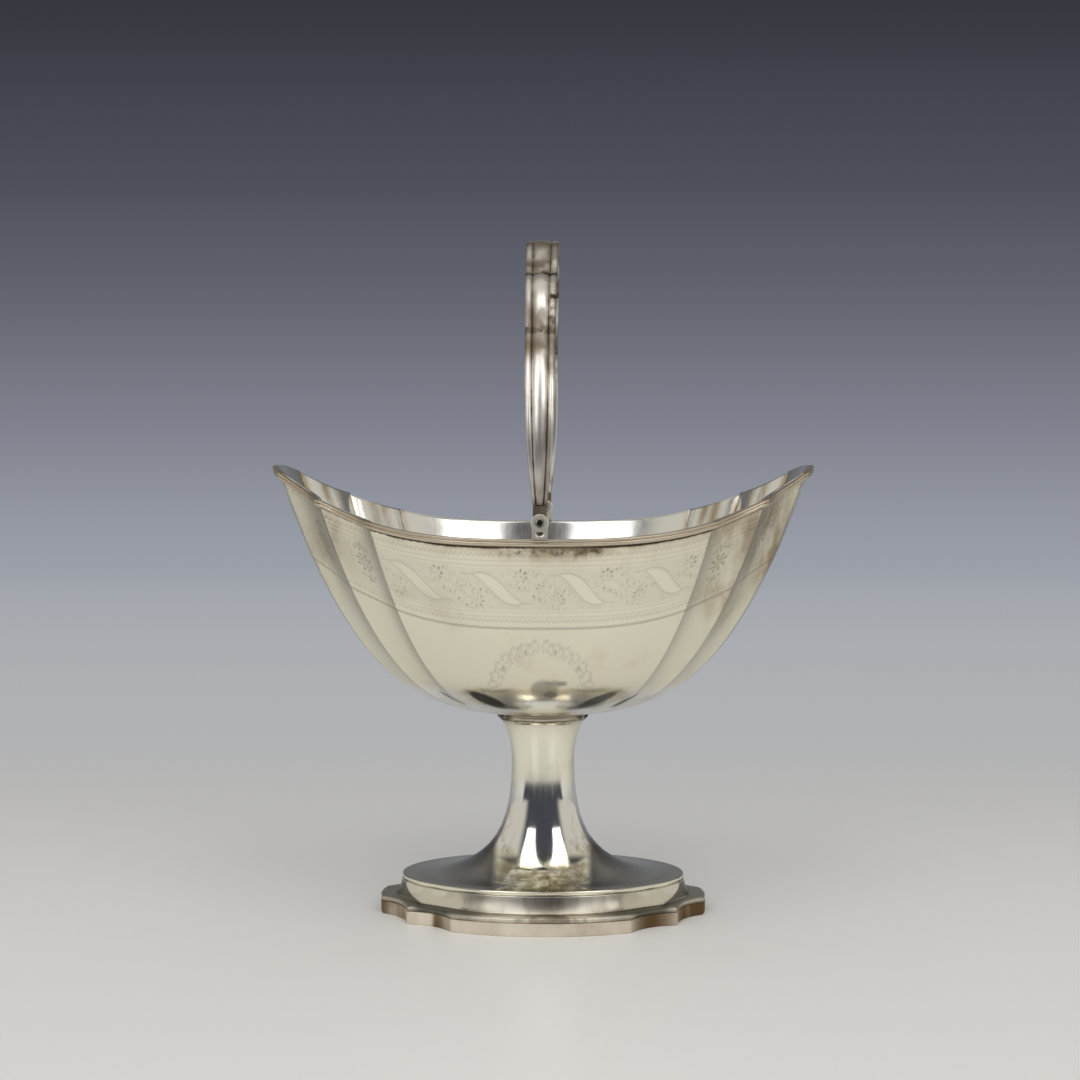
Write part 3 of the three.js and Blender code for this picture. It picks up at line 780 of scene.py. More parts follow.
def build_foot_plate(material):
    """Scalloped ledge that sweeps up to the plain step under the dish."""
    rise = STEP_TOP - PLATE_TOP
    plate_low = BAND_HEIGHT + 0.05
    # Rows are share of the outline, out, height, tuck and recess
    profile = [(1, 0, plate_low, 0, 0.8), (1, 0, PLATE_TOP - PLATE_ROLL, 0, 0.1)]
    for a in np.radians(np.linspace(15, 90, 6)):
        height = PLATE_TOP - PLATE_ROLL * (1 - math.sin(a))
        profile.append((1, -PLATE_ROLL * (1 - math.cos(a)), height, 0, 0))
    for share in np.linspace(0.94, STEP_SPREAD + 0.04, 8):
        profile.append((share, 0, PLATE_TOP + LEDGE_SLOPE * (1 - share), STEP_TUCK, 0.1))
    foot = PLATE_TOP + LEDGE_SLOPE * (1 - STEP_SPREAD)
    for down in np.linspace(1, 0, 34):
        spread = STEP_SPREAD * (0.6 * down + 0.4 * down**4)
        profile.append((spread, 0, mix(STEP_TOP, foot, down), STEP_TUCK * down, 0.8 * down**14))
    profile += [
        (0, -STEP_TREAD, STEP_TOP, 0, 0),
        (0, -STEP_TREAD, STEP_TOP - PLATE_SHEET, 0, 0),
        (0, -PLATE_SHEET - PLATE_ROLL, STEP_TOP - PLATE_SHEET, STEP_TUCK * 0.2, 0),
        (STEP_SPREAD * 0.3, -PLATE_SHEET, PLATE_TOP + rise * 0.1 - PLATE_SHEET, STEP_TUCK, 0.5),
        (STEP_SPREAD, -PLATE_SHEET, PLATE_TOP - PLATE_SHEET + 0.05, STEP_TUCK, 0.5),
        (0.95, -BAND_THICKNESS, plate_low, 0, 0.5),
    ]
    points, faces = tube(np.array([foot_ring(*row[:4]) for row in profile]))
    aside, height = np.abs(points[:, 0]), points[:, 2]
    down = (STEP_TOP - height) / rise
    from_step = (points[:, 1] / (FLANGE_HALF[1] + 2.4)) ** 2 + (aside / (FLANGE_HALF[0] + 1)) ** 2
    # Painted dark reflections on the ends of the wall beyond the lens and on the ledge beside the
    # step; painted shade and dulled, brown-patched metal over the front of the wall
    lens = np.sqrt((1 - (aside / 36.9) ** 9).clip(0))
    on_wall = inside(down - lens, 0.1) * (down < 0.9)
    close = inside(1.34 - from_step, 0.2) * inside(38 - aside, 5)
    on_ledge = (down >= 0.9) * inside(aside - 13, 7) * np.maximum(close, 0.3)
    front = inside(22 - aside, 5) * (down < 0.9) * (height < STEP_TOP - 0.02)
    ledge = inside(down - 0.85, 0.1)
    marks = {
        "recess": np.repeat([row[-1] for row in profile], foot_line.count),
        "shade": strongest(0.85 * on_wall, 0.85 * on_ledge, 0.38 * front),
        "dull": np.maximum(ledge, 0.7 * front),
        "stain": np.maximum(ledge * inside(20 - aside, 8), 0.55 * front),
        "neutral": np.zeros_like(aside),
    }
    make_piece("foot_plate", points, faces, "basket", "foot_base",
               material, marks)


def build_foot_band(material):
    """Upright strip under the scalloped edge, browned between its corners and at its ends."""
    soft = BAND_SOFT_EDGE
    section = [
        (-soft, 0.0, 0.6),
        (0.0, soft, 0.2),
        (0.0, BAND_HEIGHT * 0.5, 0.1),
        (0.0, BAND_HEIGHT - soft, 0.1),
        (-soft, BAND_HEIGHT, 0.9),
        (-BAND_THICKNESS, BAND_HEIGHT, 0.9),
        (-BAND_THICKNESS, 0.0, 0.6),
    ]
    points, faces, recess = carried_round(foot_line, section)
    share = foot_line.share
    scallops = np.where(foot_line.panel % 3 == 0, 0.12, 0.35 + 2.6 * share * (1 - share))
    stain = np.tile(np.maximum(scallops, inside(np.abs(foot_line.x) - 34, 6)), len(section))
    make_piece("foot_band", points, faces, "basket", "foot_edge_band",
               material, {"recess": recess, "stain": stain}, BAND_CRISP)


# Hinge and handle, with the pivot over the middle of the wall

WALL_REACH = BOWL_HALF_WIDTH * float(outline_share(RIM_MIDDLE))
PIVOT_REACH = WALL_REACH + (JOINT_GAP + MOULDING_PROJECTION - BOWL_SHEET) / 2


def plate_about_pivot(reach, from_y, to_y, soft, hollow=None):
    """Bevelled plate pierced at the pivot; reach gives its edge at each angle.

    hollow sinks the outer face at (x, height above the pivot) by its value.
    """
    angle = full_turn(EYE_STATIONS)
    edge = np.array([reach(a) for a in angle])
    rows = [(edge - soft, from_y), (edge, from_y + soft), (edge, to_y - soft)]
    rows += [(mix(BORE_RADIUS, edge - soft, 1 - share), to_y) for share in np.linspace(0, 1, 14)]
    rows += [(BORE_RADIUS + 0 * edge, from_y)]
    rings = []
    for number, (r, y) in enumerate(rows):
        x, up = r * np.cos(angle), r * np.sin(angle)
        sunk = hollow(x, up) if hollow and y == to_y and 3 < number < len(rows) - 3 else 0
        rings.append(np.stack([x, y - sunk + 0 * x, PIVOT_HEIGHT + up], -1))
    return tube(np.array(rings))


def crescent(x, up):
    """Small half-moon cut under the head of a lug."""
    low = LUG_HEAD_RADIUS + 0.15
    moon = inside(1.15 - np.hypot(x, (up + low) * 1.05), 0.3)
    return CRESCENT_DEPTH * moon * inside(-up - low + 0.25, 0.25)


def keyhole_reach(angle, head, half_body, end):
    """Edge of a round head that runs down into a straight body."""
    down, side = -math.sin(angle), abs(math.cos(angle))
    if down <= 0:
        return head
    return max(head, min(end / down, half_body / side if side > 1e-9 else 1e9))


def lug_reach(angle):
    """Edge of a lug, which stands on the rim."""
    return keyhole_reach(angle, LUG_HEAD_RADIUS, LUG_BODY_HALF, PIVOT_HEIGHT - RIM_MIDDLE)


def tip_reach(angle):
    """Edge of an eye, whose neck runs up into the strip."""
    return keyhole_reach(-angle, EYE_RADIUS, FOOT_WIDTH / 2, HANDLE_START)


def block(half_x, from_y, to_y, low, high):
    """Plain block between the cheeks of a lug."""
    corners = [(-half_x, low), (half_x, low), (half_x, high), (-half_x, high)]
    points = np.array([(x, y, z) for y in (from_y, to_y) for x, z in corners], float)
    sides = [(i, i + 4, (i + 1) % 4 + 4, (i + 1) % 4) for i in range(4)]
    faces = np.array([(0, 1, 2, 3), (7, 6, 5, 4), *sides])
    return points, face_outwards(points, faces)


def joined(*parts):
    """Several skins as one mesh."""
    points, faces, start = [], [], 0
    for part_points, part_faces in parts:
        points.append(part_points)
        faces.append(part_faces + start)
        start += len(part_points)
    return np.concatenate(points), np.concatenate(faces)


def on_side(points, side):
    """The front pieces are the back ones turned half round."""
    return points * (np.array([-1, -1, 1]) if side == "front" else 1)


def build_hinge(side, materials):
    """Slotted lug, riveted pin and the eye of the handle that hangs on it."""
    from_y, to_y = PIVOT_REACH - SLOT_HALF, PIVOT_REACH + SLOT_HALF
    cheeks = [
        plate_about_pivot(lug_reach, from_y - LUG_CHEEK, from_y, LUG_BEVEL),
        plate_about_pivot(lug_reach, to_y, to_y + LUG_CHEEK, LUG_BEVEL, crescent),
    ]
    floor_height = PIVOT_HEIGHT - EYE_RADIUS - EYE_CLEARANCE
    web = block(LUG_BODY_HALF - 0.02, from_y - 0.1, to_y + 0.1, RIM_MIDDLE + 0.02, floor_height)
    points, faces = joined(*cheeks, web)
    x, up = points[:, 0], points[:, 2] - PIVOT_HEIGHT
    recess = strongest(
        0.6 * np.exp(-(points[:, 2] - RIM_MIDDLE) / 0.5),
        crescent(x, up) / CRESCENT_DEPTH,
        np.exp(-(np.hypot(x, up) - BORE_RADIUS).clip(0) / 0.2),
    )
    make_piece(f"lug_{side}", on_side(points, side), faces, "basket", f"hinge_lug_{side}",
               materials["lug"], {"recess": recess}, HINGE_CRISP)

    half = SLOT_HALF + LUG_CHEEK - PIN_RECESS
    domed_end = [(0.05, 0.0), (0.6 * PIN_RADIUS, 0.03), (0.9 * PIN_RADIUS, 0.12), (PIN_RADIUS, 0.3)]
    rows = [(r, -half + y) for r, y in domed_end] + [(r, half - y) for r, y in domed_end[::-1]]
    angle = full_turn(PIN_STATIONS)
    points, faces = capped(np.array([
        np.stack([r * np.cos(angle), PIVOT_REACH + y + 0 * angle, PIVOT_HEIGHT + r * np.sin(angle)],
                 -1)
        for r, y in rows
    ]))
    make_piece(f"pin_{side}", on_side(points, side), faces, "basket", f"hinge_pin_{side}",
               materials["pin"], {"recess": np.full(len(points), 0.5)})

    half = EYE_THICKNESS / 2
    points, faces = plate_about_pivot(tip_reach, PIVOT_REACH - half, PIVOT_REACH + half, EYE_BEVEL)
    make_piece(f"tip_{side}", on_side(points, side), faces, "handle", f"handle_tip_{side}",
               materials["tip"], {"recess": np.full(len(points), 0.45)}, HINGE_CRISP)


def handle_stations():
    """Middle line: place, outward direction, width, mitre stretch and nearness of a cusp."""
    corners = [(PIVOT_REACH, PIVOT_HEIGHT + HANDLE_START), LOW_CUSP, HIGH_CUSP]
    corners += [(-x, z) for x, z in reversed(corners)]
    crest_bulge = HANDLE_TOP - HANDLE_THICKNESS / 2 - HIGH_CUSP[1]

    def leg_width(s):
        """Width along a leg, which swells quickly above its eye."""
        return mix(FOOT_WIDTH, LOW_CUSP_WIDTH, 1 - (1 - s) ** LEG_FULLNESS)

    stretches = [
        (LEG_BULGE, 70, leg_width),
        (SHOULDER_BULGE, 30, lambda s: mix(LOW_CUSP_WIDTH, HIGH_CUSP_WIDTH, s)),
        (crest_bulge, 60, lambda s: mix(HIGH_CUSP_WIDTH, CREST_WIDTH, 4 * s * (1 - s))),
        (SHOULDER_BULGE, 30, lambda s: mix(HIGH_CUSP_WIDTH, LOW_CUSP_WIDTH, s)),
        (LEG_BULGE, 70, lambda s: leg_width(1 - s)),
    ]
    stations = []
    for number, (bulge, steps, width) in enumerate(stretches):
        start, end = np.array(corners[number]), np.array(corners[number + 1])
        chord = end - start
        outward = np.array([chord[1], -chord[0]]) / np.linalg.norm(chord)
        for step in range(steps + 1):
            s = step / steps
            place = start + chord * s + outward * bulge * 4 * s * (1 - s)
            way = chord + outward * bulge * 4 * (1 - 2 * s)
            out = np.array([way[1], -way[0]]) / np.linalg.norm(way)
            has_cusp = number > 0 or s > 0.5
            cusp = min(1.0, 1.5 * math.exp(-min(s, 1 - s) * steps / 2.6)) if has_cusp else 0
            if step == 0 and stations:
                place, before, wide = stations[-1][:3]
                bisector = before + out
                bisector /= np.linalg.norm(bisector)
                stations[-1] = (place, bisector, wide, 1 / float(bisector @ out), 1.0)
            else:
                stations.append((place, out, width(s), 1.0, cusp))
    for end, level_out in ((0, 1.0), (-1, -1.0)):
        stations[end] = (stations[end][0], np.array([level_out, 0.0]), *stations[end][2:])
    return stations


def reeded_section():
    """Flat inside, a wide reed between two narrow ones outside: across, through, recess."""
    narrow = (1 - MIDDLE_REED) / 2

    def reed(centre, half, crown, steps):
        """Half-round reed between two grooves."""
        return [
            (centre + half * math.cos(a), mix(REED_GROOVE, crown, math.sin(a)), 1 - math.sin(a))
            for a in np.linspace(math.pi, 0, steps)
        ]

    top = reed(-1 + narrow, narrow, 0.9, 9)
    top += reed(0, MIDDLE_REED, 1.0, 15)[1:]
    top += reed(1 - narrow, narrow, 0.9, 9)[1:]
    half_under = [(-1, 0.25, 0.2), (-0.97, 0.08, 0.1), (-0.9, 0, 0.1), (-0.5, 0.03, 0.3)]
    other_half = [(-across, through, mark) for across, through, mark in reversed(half_under)]
    return half_under + [(0, 0.04, 0.4)] + other_half + top[::-1]


def build_handle(material):
    """Lobed strip: the reeded section carried along the middle line, mitred at the cusps."""
    section = reeded_section()
    rings, recess, stain = [], [], []
    for place, out, width, stretch, cusp in handle_stations():
        height = place[1]
        brown = max(math.exp(-(((height - level) / reach) ** 2)) for level, reach in HANDLE_BROWN)
        pit = 0.95 * float(scatter(np.floor(height / 1.3))) ** 0.5
        pit *= float(inside(17 - abs(height - 156), 5))
        ring = []
        for across, through, mark in section:
            lift = (through - 0.5) * HANDLE_THICKNESS * stretch
            ring.append((across * width / 2, place[0] + out[0] * lift, height + out[1] * lift))
            # right: the right-hand half of the strip seen from outside, with painted shade down its
            # reeds and pits along its edge
            right = inside((across if place[0] < 0 else -across) + 0.1, 0.5)
            recess.append(max(mark, cusp, pit * right * (abs(across) > 0.6)))
            stain.append(max(brown, 0.75 * right * (through > 0.3), 0.1))
        rings.append(ring)
    points, faces = capped(np.array(rings))
    marks = {"recess": np.array(recess), "stain": np.array(stain)}
    make_piece("handle", points, faces, "handle", "handle_arch", material,
               marks, HANDLE_CRISP)


# Colours of the metal, its films, and its painted shades and reflections
WARM = (0.85, 0.81, 0.665, 1)
# Whiter, less warm tone painted as reflection colour inside the bowl, low under it, round the lower
# stem and on the dish ends
WHITER_REFLECTION_TONE = (0.94, 0.935, 0.915, 1)
# Painted shade in the hollows of the flutes
HOLLOW_SHADE = (0.4, 0.37, 0.31, 1)
PRICKED_GROUND = (0.62, 0.6, 0.52, 1)
CUT_LINES = (0.24, 0.22, 0.18, 1)
BLACK_FILM = (0.05, 0.04, 0.03, 1)
BROWN = (0.36, 0.27, 0.17, 1)
DARK = (0.16, 0.12, 0.085, 1)
# Painted shade and dark reflections, where the shade mark is set
SHADE = (0.07, 0.067, 0.058, 1)
BUMP_DEPTH = 0.0004
HOLLOW_SHADE_STRENGTH = 0.62
GROUND_STRENGTH = 0.22
CUT_STRENGTH = 0.7

COLOUR, NUMBER = "NodeSocketColor", "NodeSocketFloat"


def new_group(name, inputs, outputs):
    """Shader node group with named sockets; inputs carry their usual values."""
    group = bpy.data.node_groups.new(name, "ShaderNodeTree")
    for label, value in inputs.items():
        kind = COLOUR if isinstance(value, tuple) else NUMBER
        socket = group.interface.new_socket(name=label, in_out="INPUT", socket_type=kind)
        socket.default_value = value
    for label, kind in outputs.items():
        group.interface.new_socket(name=label, in_out="OUTPUT", socket_type=kind)
    entry, leave = group.nodes.new("NodeGroupInput"), group.nodes.new("NodeGroupOutput")
    return group, entry.outputs, leave.inputs


def feed(tree, socket, term):
    """Sets a socket to a number, vector or colour, or links another socket to it."""
    if isinstance(term, (int, float, tuple)):
        socket.default_value = term
    else:
        tree.links.new(term, socket)


def add_node(tree, kind, inputs=None, **settings):
    """Node with its settings and what feeds its inputs."""
    node = tree.nodes.new(kind)
    for key, value in settings.items():
        setattr(node, key, value)
    for key, term in (inputs or {}).items():
        feed(tree, node.inputs[key], term)
    return node


def math_node(tree, operation, first, second, clamp=False):
    """Result of a sum on two terms, each a socket or a number."""
    node = add_node(tree, "ShaderNodeMath", operation=operation, use_clamp=clamp)
    feed(tree, node.inputs[0], first)
    feed(tree, node.inputs[1], second)
    return node.outputs[0]


def map_range(tree, value, start, full, low=0.0, high=1.0, interpolation="SMOOTHSTEP"):
    """low where the value is at start, high where it is full, eased between them."""
    inputs = {"Value": value, "From Min": start, "From Max": full, "To Min": low, "To Max": high}
    node = add_node(tree, "ShaderNodeMapRange", inputs, interpolation_type=interpolation)
    return node.outputs["Result"]


def noise(tree, place, scale, detail, roughness):
    """Cloudy noise around 0.5; scale is the number of clouds to a metre."""
    inputs = {"Vector": place, "Scale": scale, "Detail": detail, "Roughness": roughness}
    return add_node(tree, "ShaderNodeTexNoise", inputs).outputs["Fac"]


def colour_mix(tree, share, first, second):
    """First colour where share is 0, second where it is 1."""
    node = add_node(tree, "ShaderNodeMix", {"Factor": share}, data_type="RGBA")
    for label, term in (("A", first), ("B", second)):
        feed(tree, next(s for s in node.inputs if s.name == label and s.type == "RGBA"), term)
    return next(s for s in node.outputs if s.type == "RGBA")


def tarnish_group():
    """Film on the metal: blotchy in the recesses, black deep in them, thin clouds elsewhere."""
    group, given, result = new_group(
        "tarnish_film",
        {"Polished": (1, 1, 1, 1), "Film": (0, 0, 0, 1), "Recess": 0.0, "Cloud Size": 60.0,
         "Amount": 0.3},
        {"Colour": COLOUR, "Mask": NUMBER},
    )
    place = add_node(group, "ShaderNodeTexCoord").outputs["Object"]
    cloud = noise(group, place, given["Cloud Size"], 6.0, 0.65)
    specks = noise(group, place, 900.0, 3.0, 0.7)
    patchy = map_range(group, cloud, 0.36, 0.62, 0.15)
    in_recess = math_node(group, "MULTIPLY", given["Recess"], patchy)
    drift = map_range(group, cloud, 0.5, 0.8, 0.0, 0.35)
    both = math_node(group, "ADD", in_recess, drift)
    mask = math_node(group, "MULTIPLY", both, given["Amount"], True)
    colour = colour_mix(group, mask, given["Polished"], given["Film"])
    grain = math_node(group, "ADD", specks, cloud)
    deep = math_node(group, "MULTIPLY", given["Recess"], grain)
    black = map_range(group, deep, 0.72, 1.1)
    black = math_node(group, "MULTIPLY", black, given["Amount"], True)
    feed(group, result["Colour"], colour_mix(group, black, colour, BLACK_FILM))
    feed(group, result["Mask"], math_node(group, "MAXIMUM", mask, black))
    return group


def stain_and_shade_group():
    """Streaky brown inside the marked patches, left by fingers and cloth, and painted shade down
    one side of the handle.
    """
    group, given, result = new_group(
        "brown_stain_and_shade",
        {"Metal": (1, 1, 1, 1), "Stain": (0.5, 0.3, 0.15, 1), "Where": 0.0, "Start": 0.85,
         "Full": 1.15, "Fineness": 1.0},
        {"Colour": COLOUR, "Mask": NUMBER},
    )
    place = add_node(group, "ShaderNodeTexCoord").outputs["Object"]
    streaks = []
    for scale, stretch, detail in ((70.0, (1.0, 1.0, 0.45), 5.0), (180.0, (1.0, 1.0, 0.3), 2.0)):
        drawn = add_node(group, "ShaderNodeMapping", {"Scale": stretch, "Vector": place})
        size = math_node(group, "MULTIPLY", given["Fineness"], scale)
        streaks.append(noise(group, drawn.outputs["Vector"], size, detail, 0.6))
    both = math_node(group, "ADD", *streaks)
    patches = map_range(group, both, given["Start"], given["Full"])
    mask = math_node(group, "MULTIPLY", given["Where"], patches, True)
    feed(group, result["Colour"], colour_mix(group, mask, given["Metal"], given["Stain"]))
    feed(group, result["Mask"], mask)
    return group


def wear_group():
    """Hand polishing: soft planishing waves and fine crossed hairlines."""
    group, given, result = new_group(
        "polishing_marks",
        {"Wave Size": 90.0, "Hairline Size": 900.0, "Roughness": 0.12, "Film": 0.0},
        {"Height": NUMBER, "Roughness": NUMBER},
    )
    place = add_node(group, "ShaderNodeTexCoord").outputs["Object"]
    wave = noise(group, place, given["Wave Size"], 1.0, 0.4)
    lines = []
    for turn in ((0.0, 0.0, 0.7), (0.5, 0.0, -0.5)):
        inputs = {"Rotation": turn, "Scale": (1.0, 1.0, 0.06), "Vector": place}
        drawn = add_node(group, "ShaderNodeMapping", inputs).outputs["Vector"]
        lines.append(noise(group, drawn, given["Hairline Size"], 3.0, 0.7))
    hair = math_node(group, "MULTIPLY", *lines)
    height = math_node(group, "ADD", wave, math_node(group, "MULTIPLY", hair, 0.04))
    grain = math_node(group, "MULTIPLY", hair, 0.22)
    film = math_node(group, "MULTIPLY", given["Film"], 0.22)
    uneven = math_node(group, "ADD", grain, film)
    feed(group, result["Height"], height)
    feed(group, result["Roughness"], math_node(group, "ADD", given["Roughness"], uneven))
    return group


TARNISH = tarnish_group()
WEAR = wear_group()
# Brown stains, and painted shade down one side of the handle
STAIN = stain_and_shade_group()


def silver(name, polished, film, amount, roughness, cloud=60.0, wave=90.0, bump=0.25,
           stain=None, patches=(0.85, 1.15, 1.0), shaded=False, engraved=False):
    """Polished silver with tarnish in the recesses.

    patches is where the noise of the stain starts and is full, and how fine it is.
    shaded reads the painted shade, dark and whiter painted reflections and dull places marked on
    the mesh; engraved adds cut lines and ground.
    """
    material = bpy.data.materials.new(name)
    material.use_nodes = True
    tree = material.node_tree
    shader = tree.nodes["Principled BSDF"]
    shader.inputs["Metallic"].default_value = 1.0

    def mark(label):
        """Strengths kept on the mesh under that name, or 0 where it has none."""
        return add_node(tree, "ShaderNodeAttribute", attribute_name=label).outputs["Fac"]

    inputs = {"Polished": polished, "Film": film, "Cloud Size": cloud, "Amount": amount,
              "Recess": mark("recess")}
    tarnish = add_node(tree, "ShaderNodeGroup", inputs, node_tree=TARNISH)
    colour, mask = tarnish.outputs["Colour"], tarnish.outputs["Mask"]
    if shaded:
        # Whiter painted reflection tone where marked neutral
        colour = colour_mix(tree, mark("neutral"), colour, WHITER_REFLECTION_TONE)
    if stain:
        inputs = {"Stain": stain, "Start": patches[0], "Full": patches[1], "Fineness": patches[2],
                  "Metal": colour, "Where": mark("stain")}
        stained = add_node(tree, "ShaderNodeGroup", inputs, node_tree=STAIN).outputs
        colour = stained["Colour"]
        mask = math_node(tree, "MAXIMUM", mask, stained["Mask"])
    if shaded:
        # Painted shade and dark reflections where marked shade, dulled there and where marked dull
        shade = mark("shade")
        colour = colour_mix(tree, shade, colour, SHADE)
        dulled = math_node(tree, "MAXIMUM", shade, mark("dull"))
        mask = math_node(tree, "MAXIMUM", mask, dulled)
    if engraved:
        # Painted shade in the flute hollows
        hollow = math_node(tree, "MULTIPLY", mark("hollow"), HOLLOW_SHADE_STRENGTH)
        colour = colour_mix(tree, hollow, colour, HOLLOW_SHADE)
        ground = math_node(tree, "MULTIPLY", mark("ground"), GROUND_STRENGTH)
        colour = colour_mix(tree, ground, colour, PRICKED_GROUND)
        cut = mark("cut")
        dark = math_node(tree, "MULTIPLY", cut, CUT_STRENGTH)
        colour = colour_mix(tree, dark, colour, CUT_LINES)
        mask = math_node(tree, "MAXIMUM", mask, math_node(tree, "MAXIMUM", cut, ground))
    inputs = {"Wave Size": wave, "Roughness": roughness, "Film": mask}
    wear = add_node(tree, "ShaderNodeGroup", inputs, node_tree=WEAR).outputs
    inputs = {"Strength": bump, "Distance": BUMP_DEPTH, "Height": wear["Height"]}
    raised = add_node(tree, "ShaderNodeBump", inputs).outputs["Normal"]
    feed(tree, shader.inputs["Base Color"], colour)
    feed(tree, shader.inputs["Roughness"], wear["Roughness"])
    feed(tree, shader.inputs["Normal"], raised)
    return material


materials = {
    "bowl": silver(
        "engraved_bowl_silver", WARM, BROWN, 0.95, 0.1,
        stain=(0.42, 0.33, 0.21, 1), patches=(0.7, 1.24, 1.0), shaded=True, engraved=True,
    ),
    "moulding": silver(
        "rim_wire_silver", (0.66, 0.58, 0.46, 1), (0.3, 0.23, 0.15, 1), 1.0, 0.26, cloud=90.0
    ),
    "collar": silver("solder_stained_silver", (0.56, 0.5, 0.4, 1), DARK, 1.0, 0.24, cloud=260.0),
    "stem": silver(
        "trumpet_silver", (0.9, 0.875, 0.745, 1), BROWN, 0.8, 0.035, bump=0.08,
        stain=(0.36, 0.3, 0.19, 1), patches=(0.86, 1.2, 1.7), shaded=True,
    ),
    "plate": silver(
        "ledge_silver", (0.8, 0.76, 0.66, 1), BROWN, 1.0, 0.1,
        stain=(0.3, 0.25, 0.2, 1), shaded=True,
    ),
    "band": silver(
        "browned_band_silver", (1.0, 0.92, 0.8, 1), (0.4, 0.29, 0.2, 1), 0.7, 0.5, cloud=95.0,
        stain=(0.22, 0.14, 0.07, 1), patches=(0.7, 1.08, 0.55),
    ),
    "lug": silver("lug_cast_silver", (0.93, 0.9, 0.8, 1), DARK, 0.9, 0.36, cloud=300.0),
    "pin": silver("pin_wire_silver", (0.015, 0.012, 0.01, 1), DARK, 0.3, 0.6, cloud=400.0),
    "tip": silver("eye_silver", (0.3, 0.25, 0.19, 1), BROWN, 0.9, 0.3, cloud=300.0),
    "handle": silver(
        "reeded_handle_silver", (0.93, 0.9, 0.86, 1), (0.26, 0.2, 0.15, 1), 1.0, 0.27,
        cloud=130.0, wave=120.0, stain=(0.24, 0.195, 0.15, 1), patches=(0.74, 1.08, 1.0),
    ),
}

build_bowl(materials["bowl"])
build_moulding(materials["moulding"])
build_stem(materials["stem"])
build_collar(materials["collar"])
build_foot_plate(materials["plate"])
build_foot_band(materials["band"])
for hinge_side in ("front", "back"):
    build_hinge(hinge_side, materials)
build_handle(materials["handle"])

# Studio, in metres
FLOOR_FRONT, FLOOR_BACK, SWEEP_RADIUS, WALL_TOP, FLOOR_HALF = -1.5, 1.3, 0.45, 1.9, 1.9
PAPER_FADE = (-0.05, 0.27)
# Painted table edge: reach at which reflections begin to see the painted dark band
PAINTED_TABLE_EDGE = (0.31, 0.325)
SOFTBOX_POWER = 6.4
SOFTBOX_WIDTH, SOFTBOX_HEIGHT = 0.36, 1.2
SOFTBOX_RISE, SOFTBOX_DISTANCE = 42.0, 1.0
SOFTBOX_COLOUR = (1.0, 0.985, 0.95)
BOWL_MIDDLE = (0, 0, 0.08)
CAMERA_SIDE = (0.055, 0.057, 0.068, 1)
PALE_WALL = (0.55, 0.53, 0.465, 1)
EVEN_FILL = (0.64, 0.647, 0.66, 1)
OPEN_BACKGROUND = (0.3, 0.31, 0.34, 1)
# Colour of the painted dark reflection
PAINTED_DARK_REFLECTION = (0.05, 0.052, 0.062, 1)
# Painted reflection tone: reflections see the far paper half mixed toward this grey
PAPER_REFLECTION_TONE = (0.24, 0.24, 0.235, 1)
NEAR_PAPER = (0.77, 0.76, 0.73, 1)

# Glowing tones of the far paper, a painted grading from pale to dark: at PAPER_START on the floor
# (0), where the backdrop begins to rise (0.5), and at PAPER_TOP on the backdrop (1)
PAPER_START, PAPER_TOP = 0.15, 0.66
PAPER_TONES = (
    (0.0, (0.46, 0.458, 0.458, 1)),
    (0.103, (0.43, 0.437, 0.455, 1)),
    (0.338, (0.37, 0.392, 0.425, 1)),
    (0.5, (0.327, 0.345, 0.39, 1)),
    (0.598, (0.223, 0.235, 0.283, 1)),
    (0.727, (0.125, 0.133, 0.165, 1)),
    (0.841, (0.074, 0.08, 0.105, 1)),
    (1.0, (0.038, 0.04, 0.051, 1)),
)


def paper_sweep():
    """Floor that curves up into a backdrop."""
    profile = [(y, 0.0) for y in np.linspace(FLOOR_FRONT, FLOOR_BACK, 30)]
    for a in np.radians(np.linspace(6, 90, 15)):
        profile.append((FLOOR_BACK + SWEEP_RADIUS * math.sin(a), SWEEP_RADIUS * (1 - math.cos(a))))
    profile += [(FLOOR_BACK + SWEEP_RADIUS, z) for z in np.linspace(SWEEP_RADIUS, WALL_TOP, 10)[1:]]
    points = [(x, y, z) for y, z in profile for x in (-FLOOR_HALF, FLOOR_HALF)]
    faces = [(2 * i, 2 * i + 1, 2 * i + 3, 2 * i + 2) for i in range(len(profile) - 1)]
    mesh = bpy.data.meshes.new("paper_sweep")
    mesh.from_pydata(points, [], faces)
    mesh.polygons.foreach_set("use_smooth", [True] * len(mesh.polygons))
    sweep = bpy.data.objects.new("paper_sweep", mesh)
    bpy.context.scene.collection.objects.link(sweep)
    return sweep


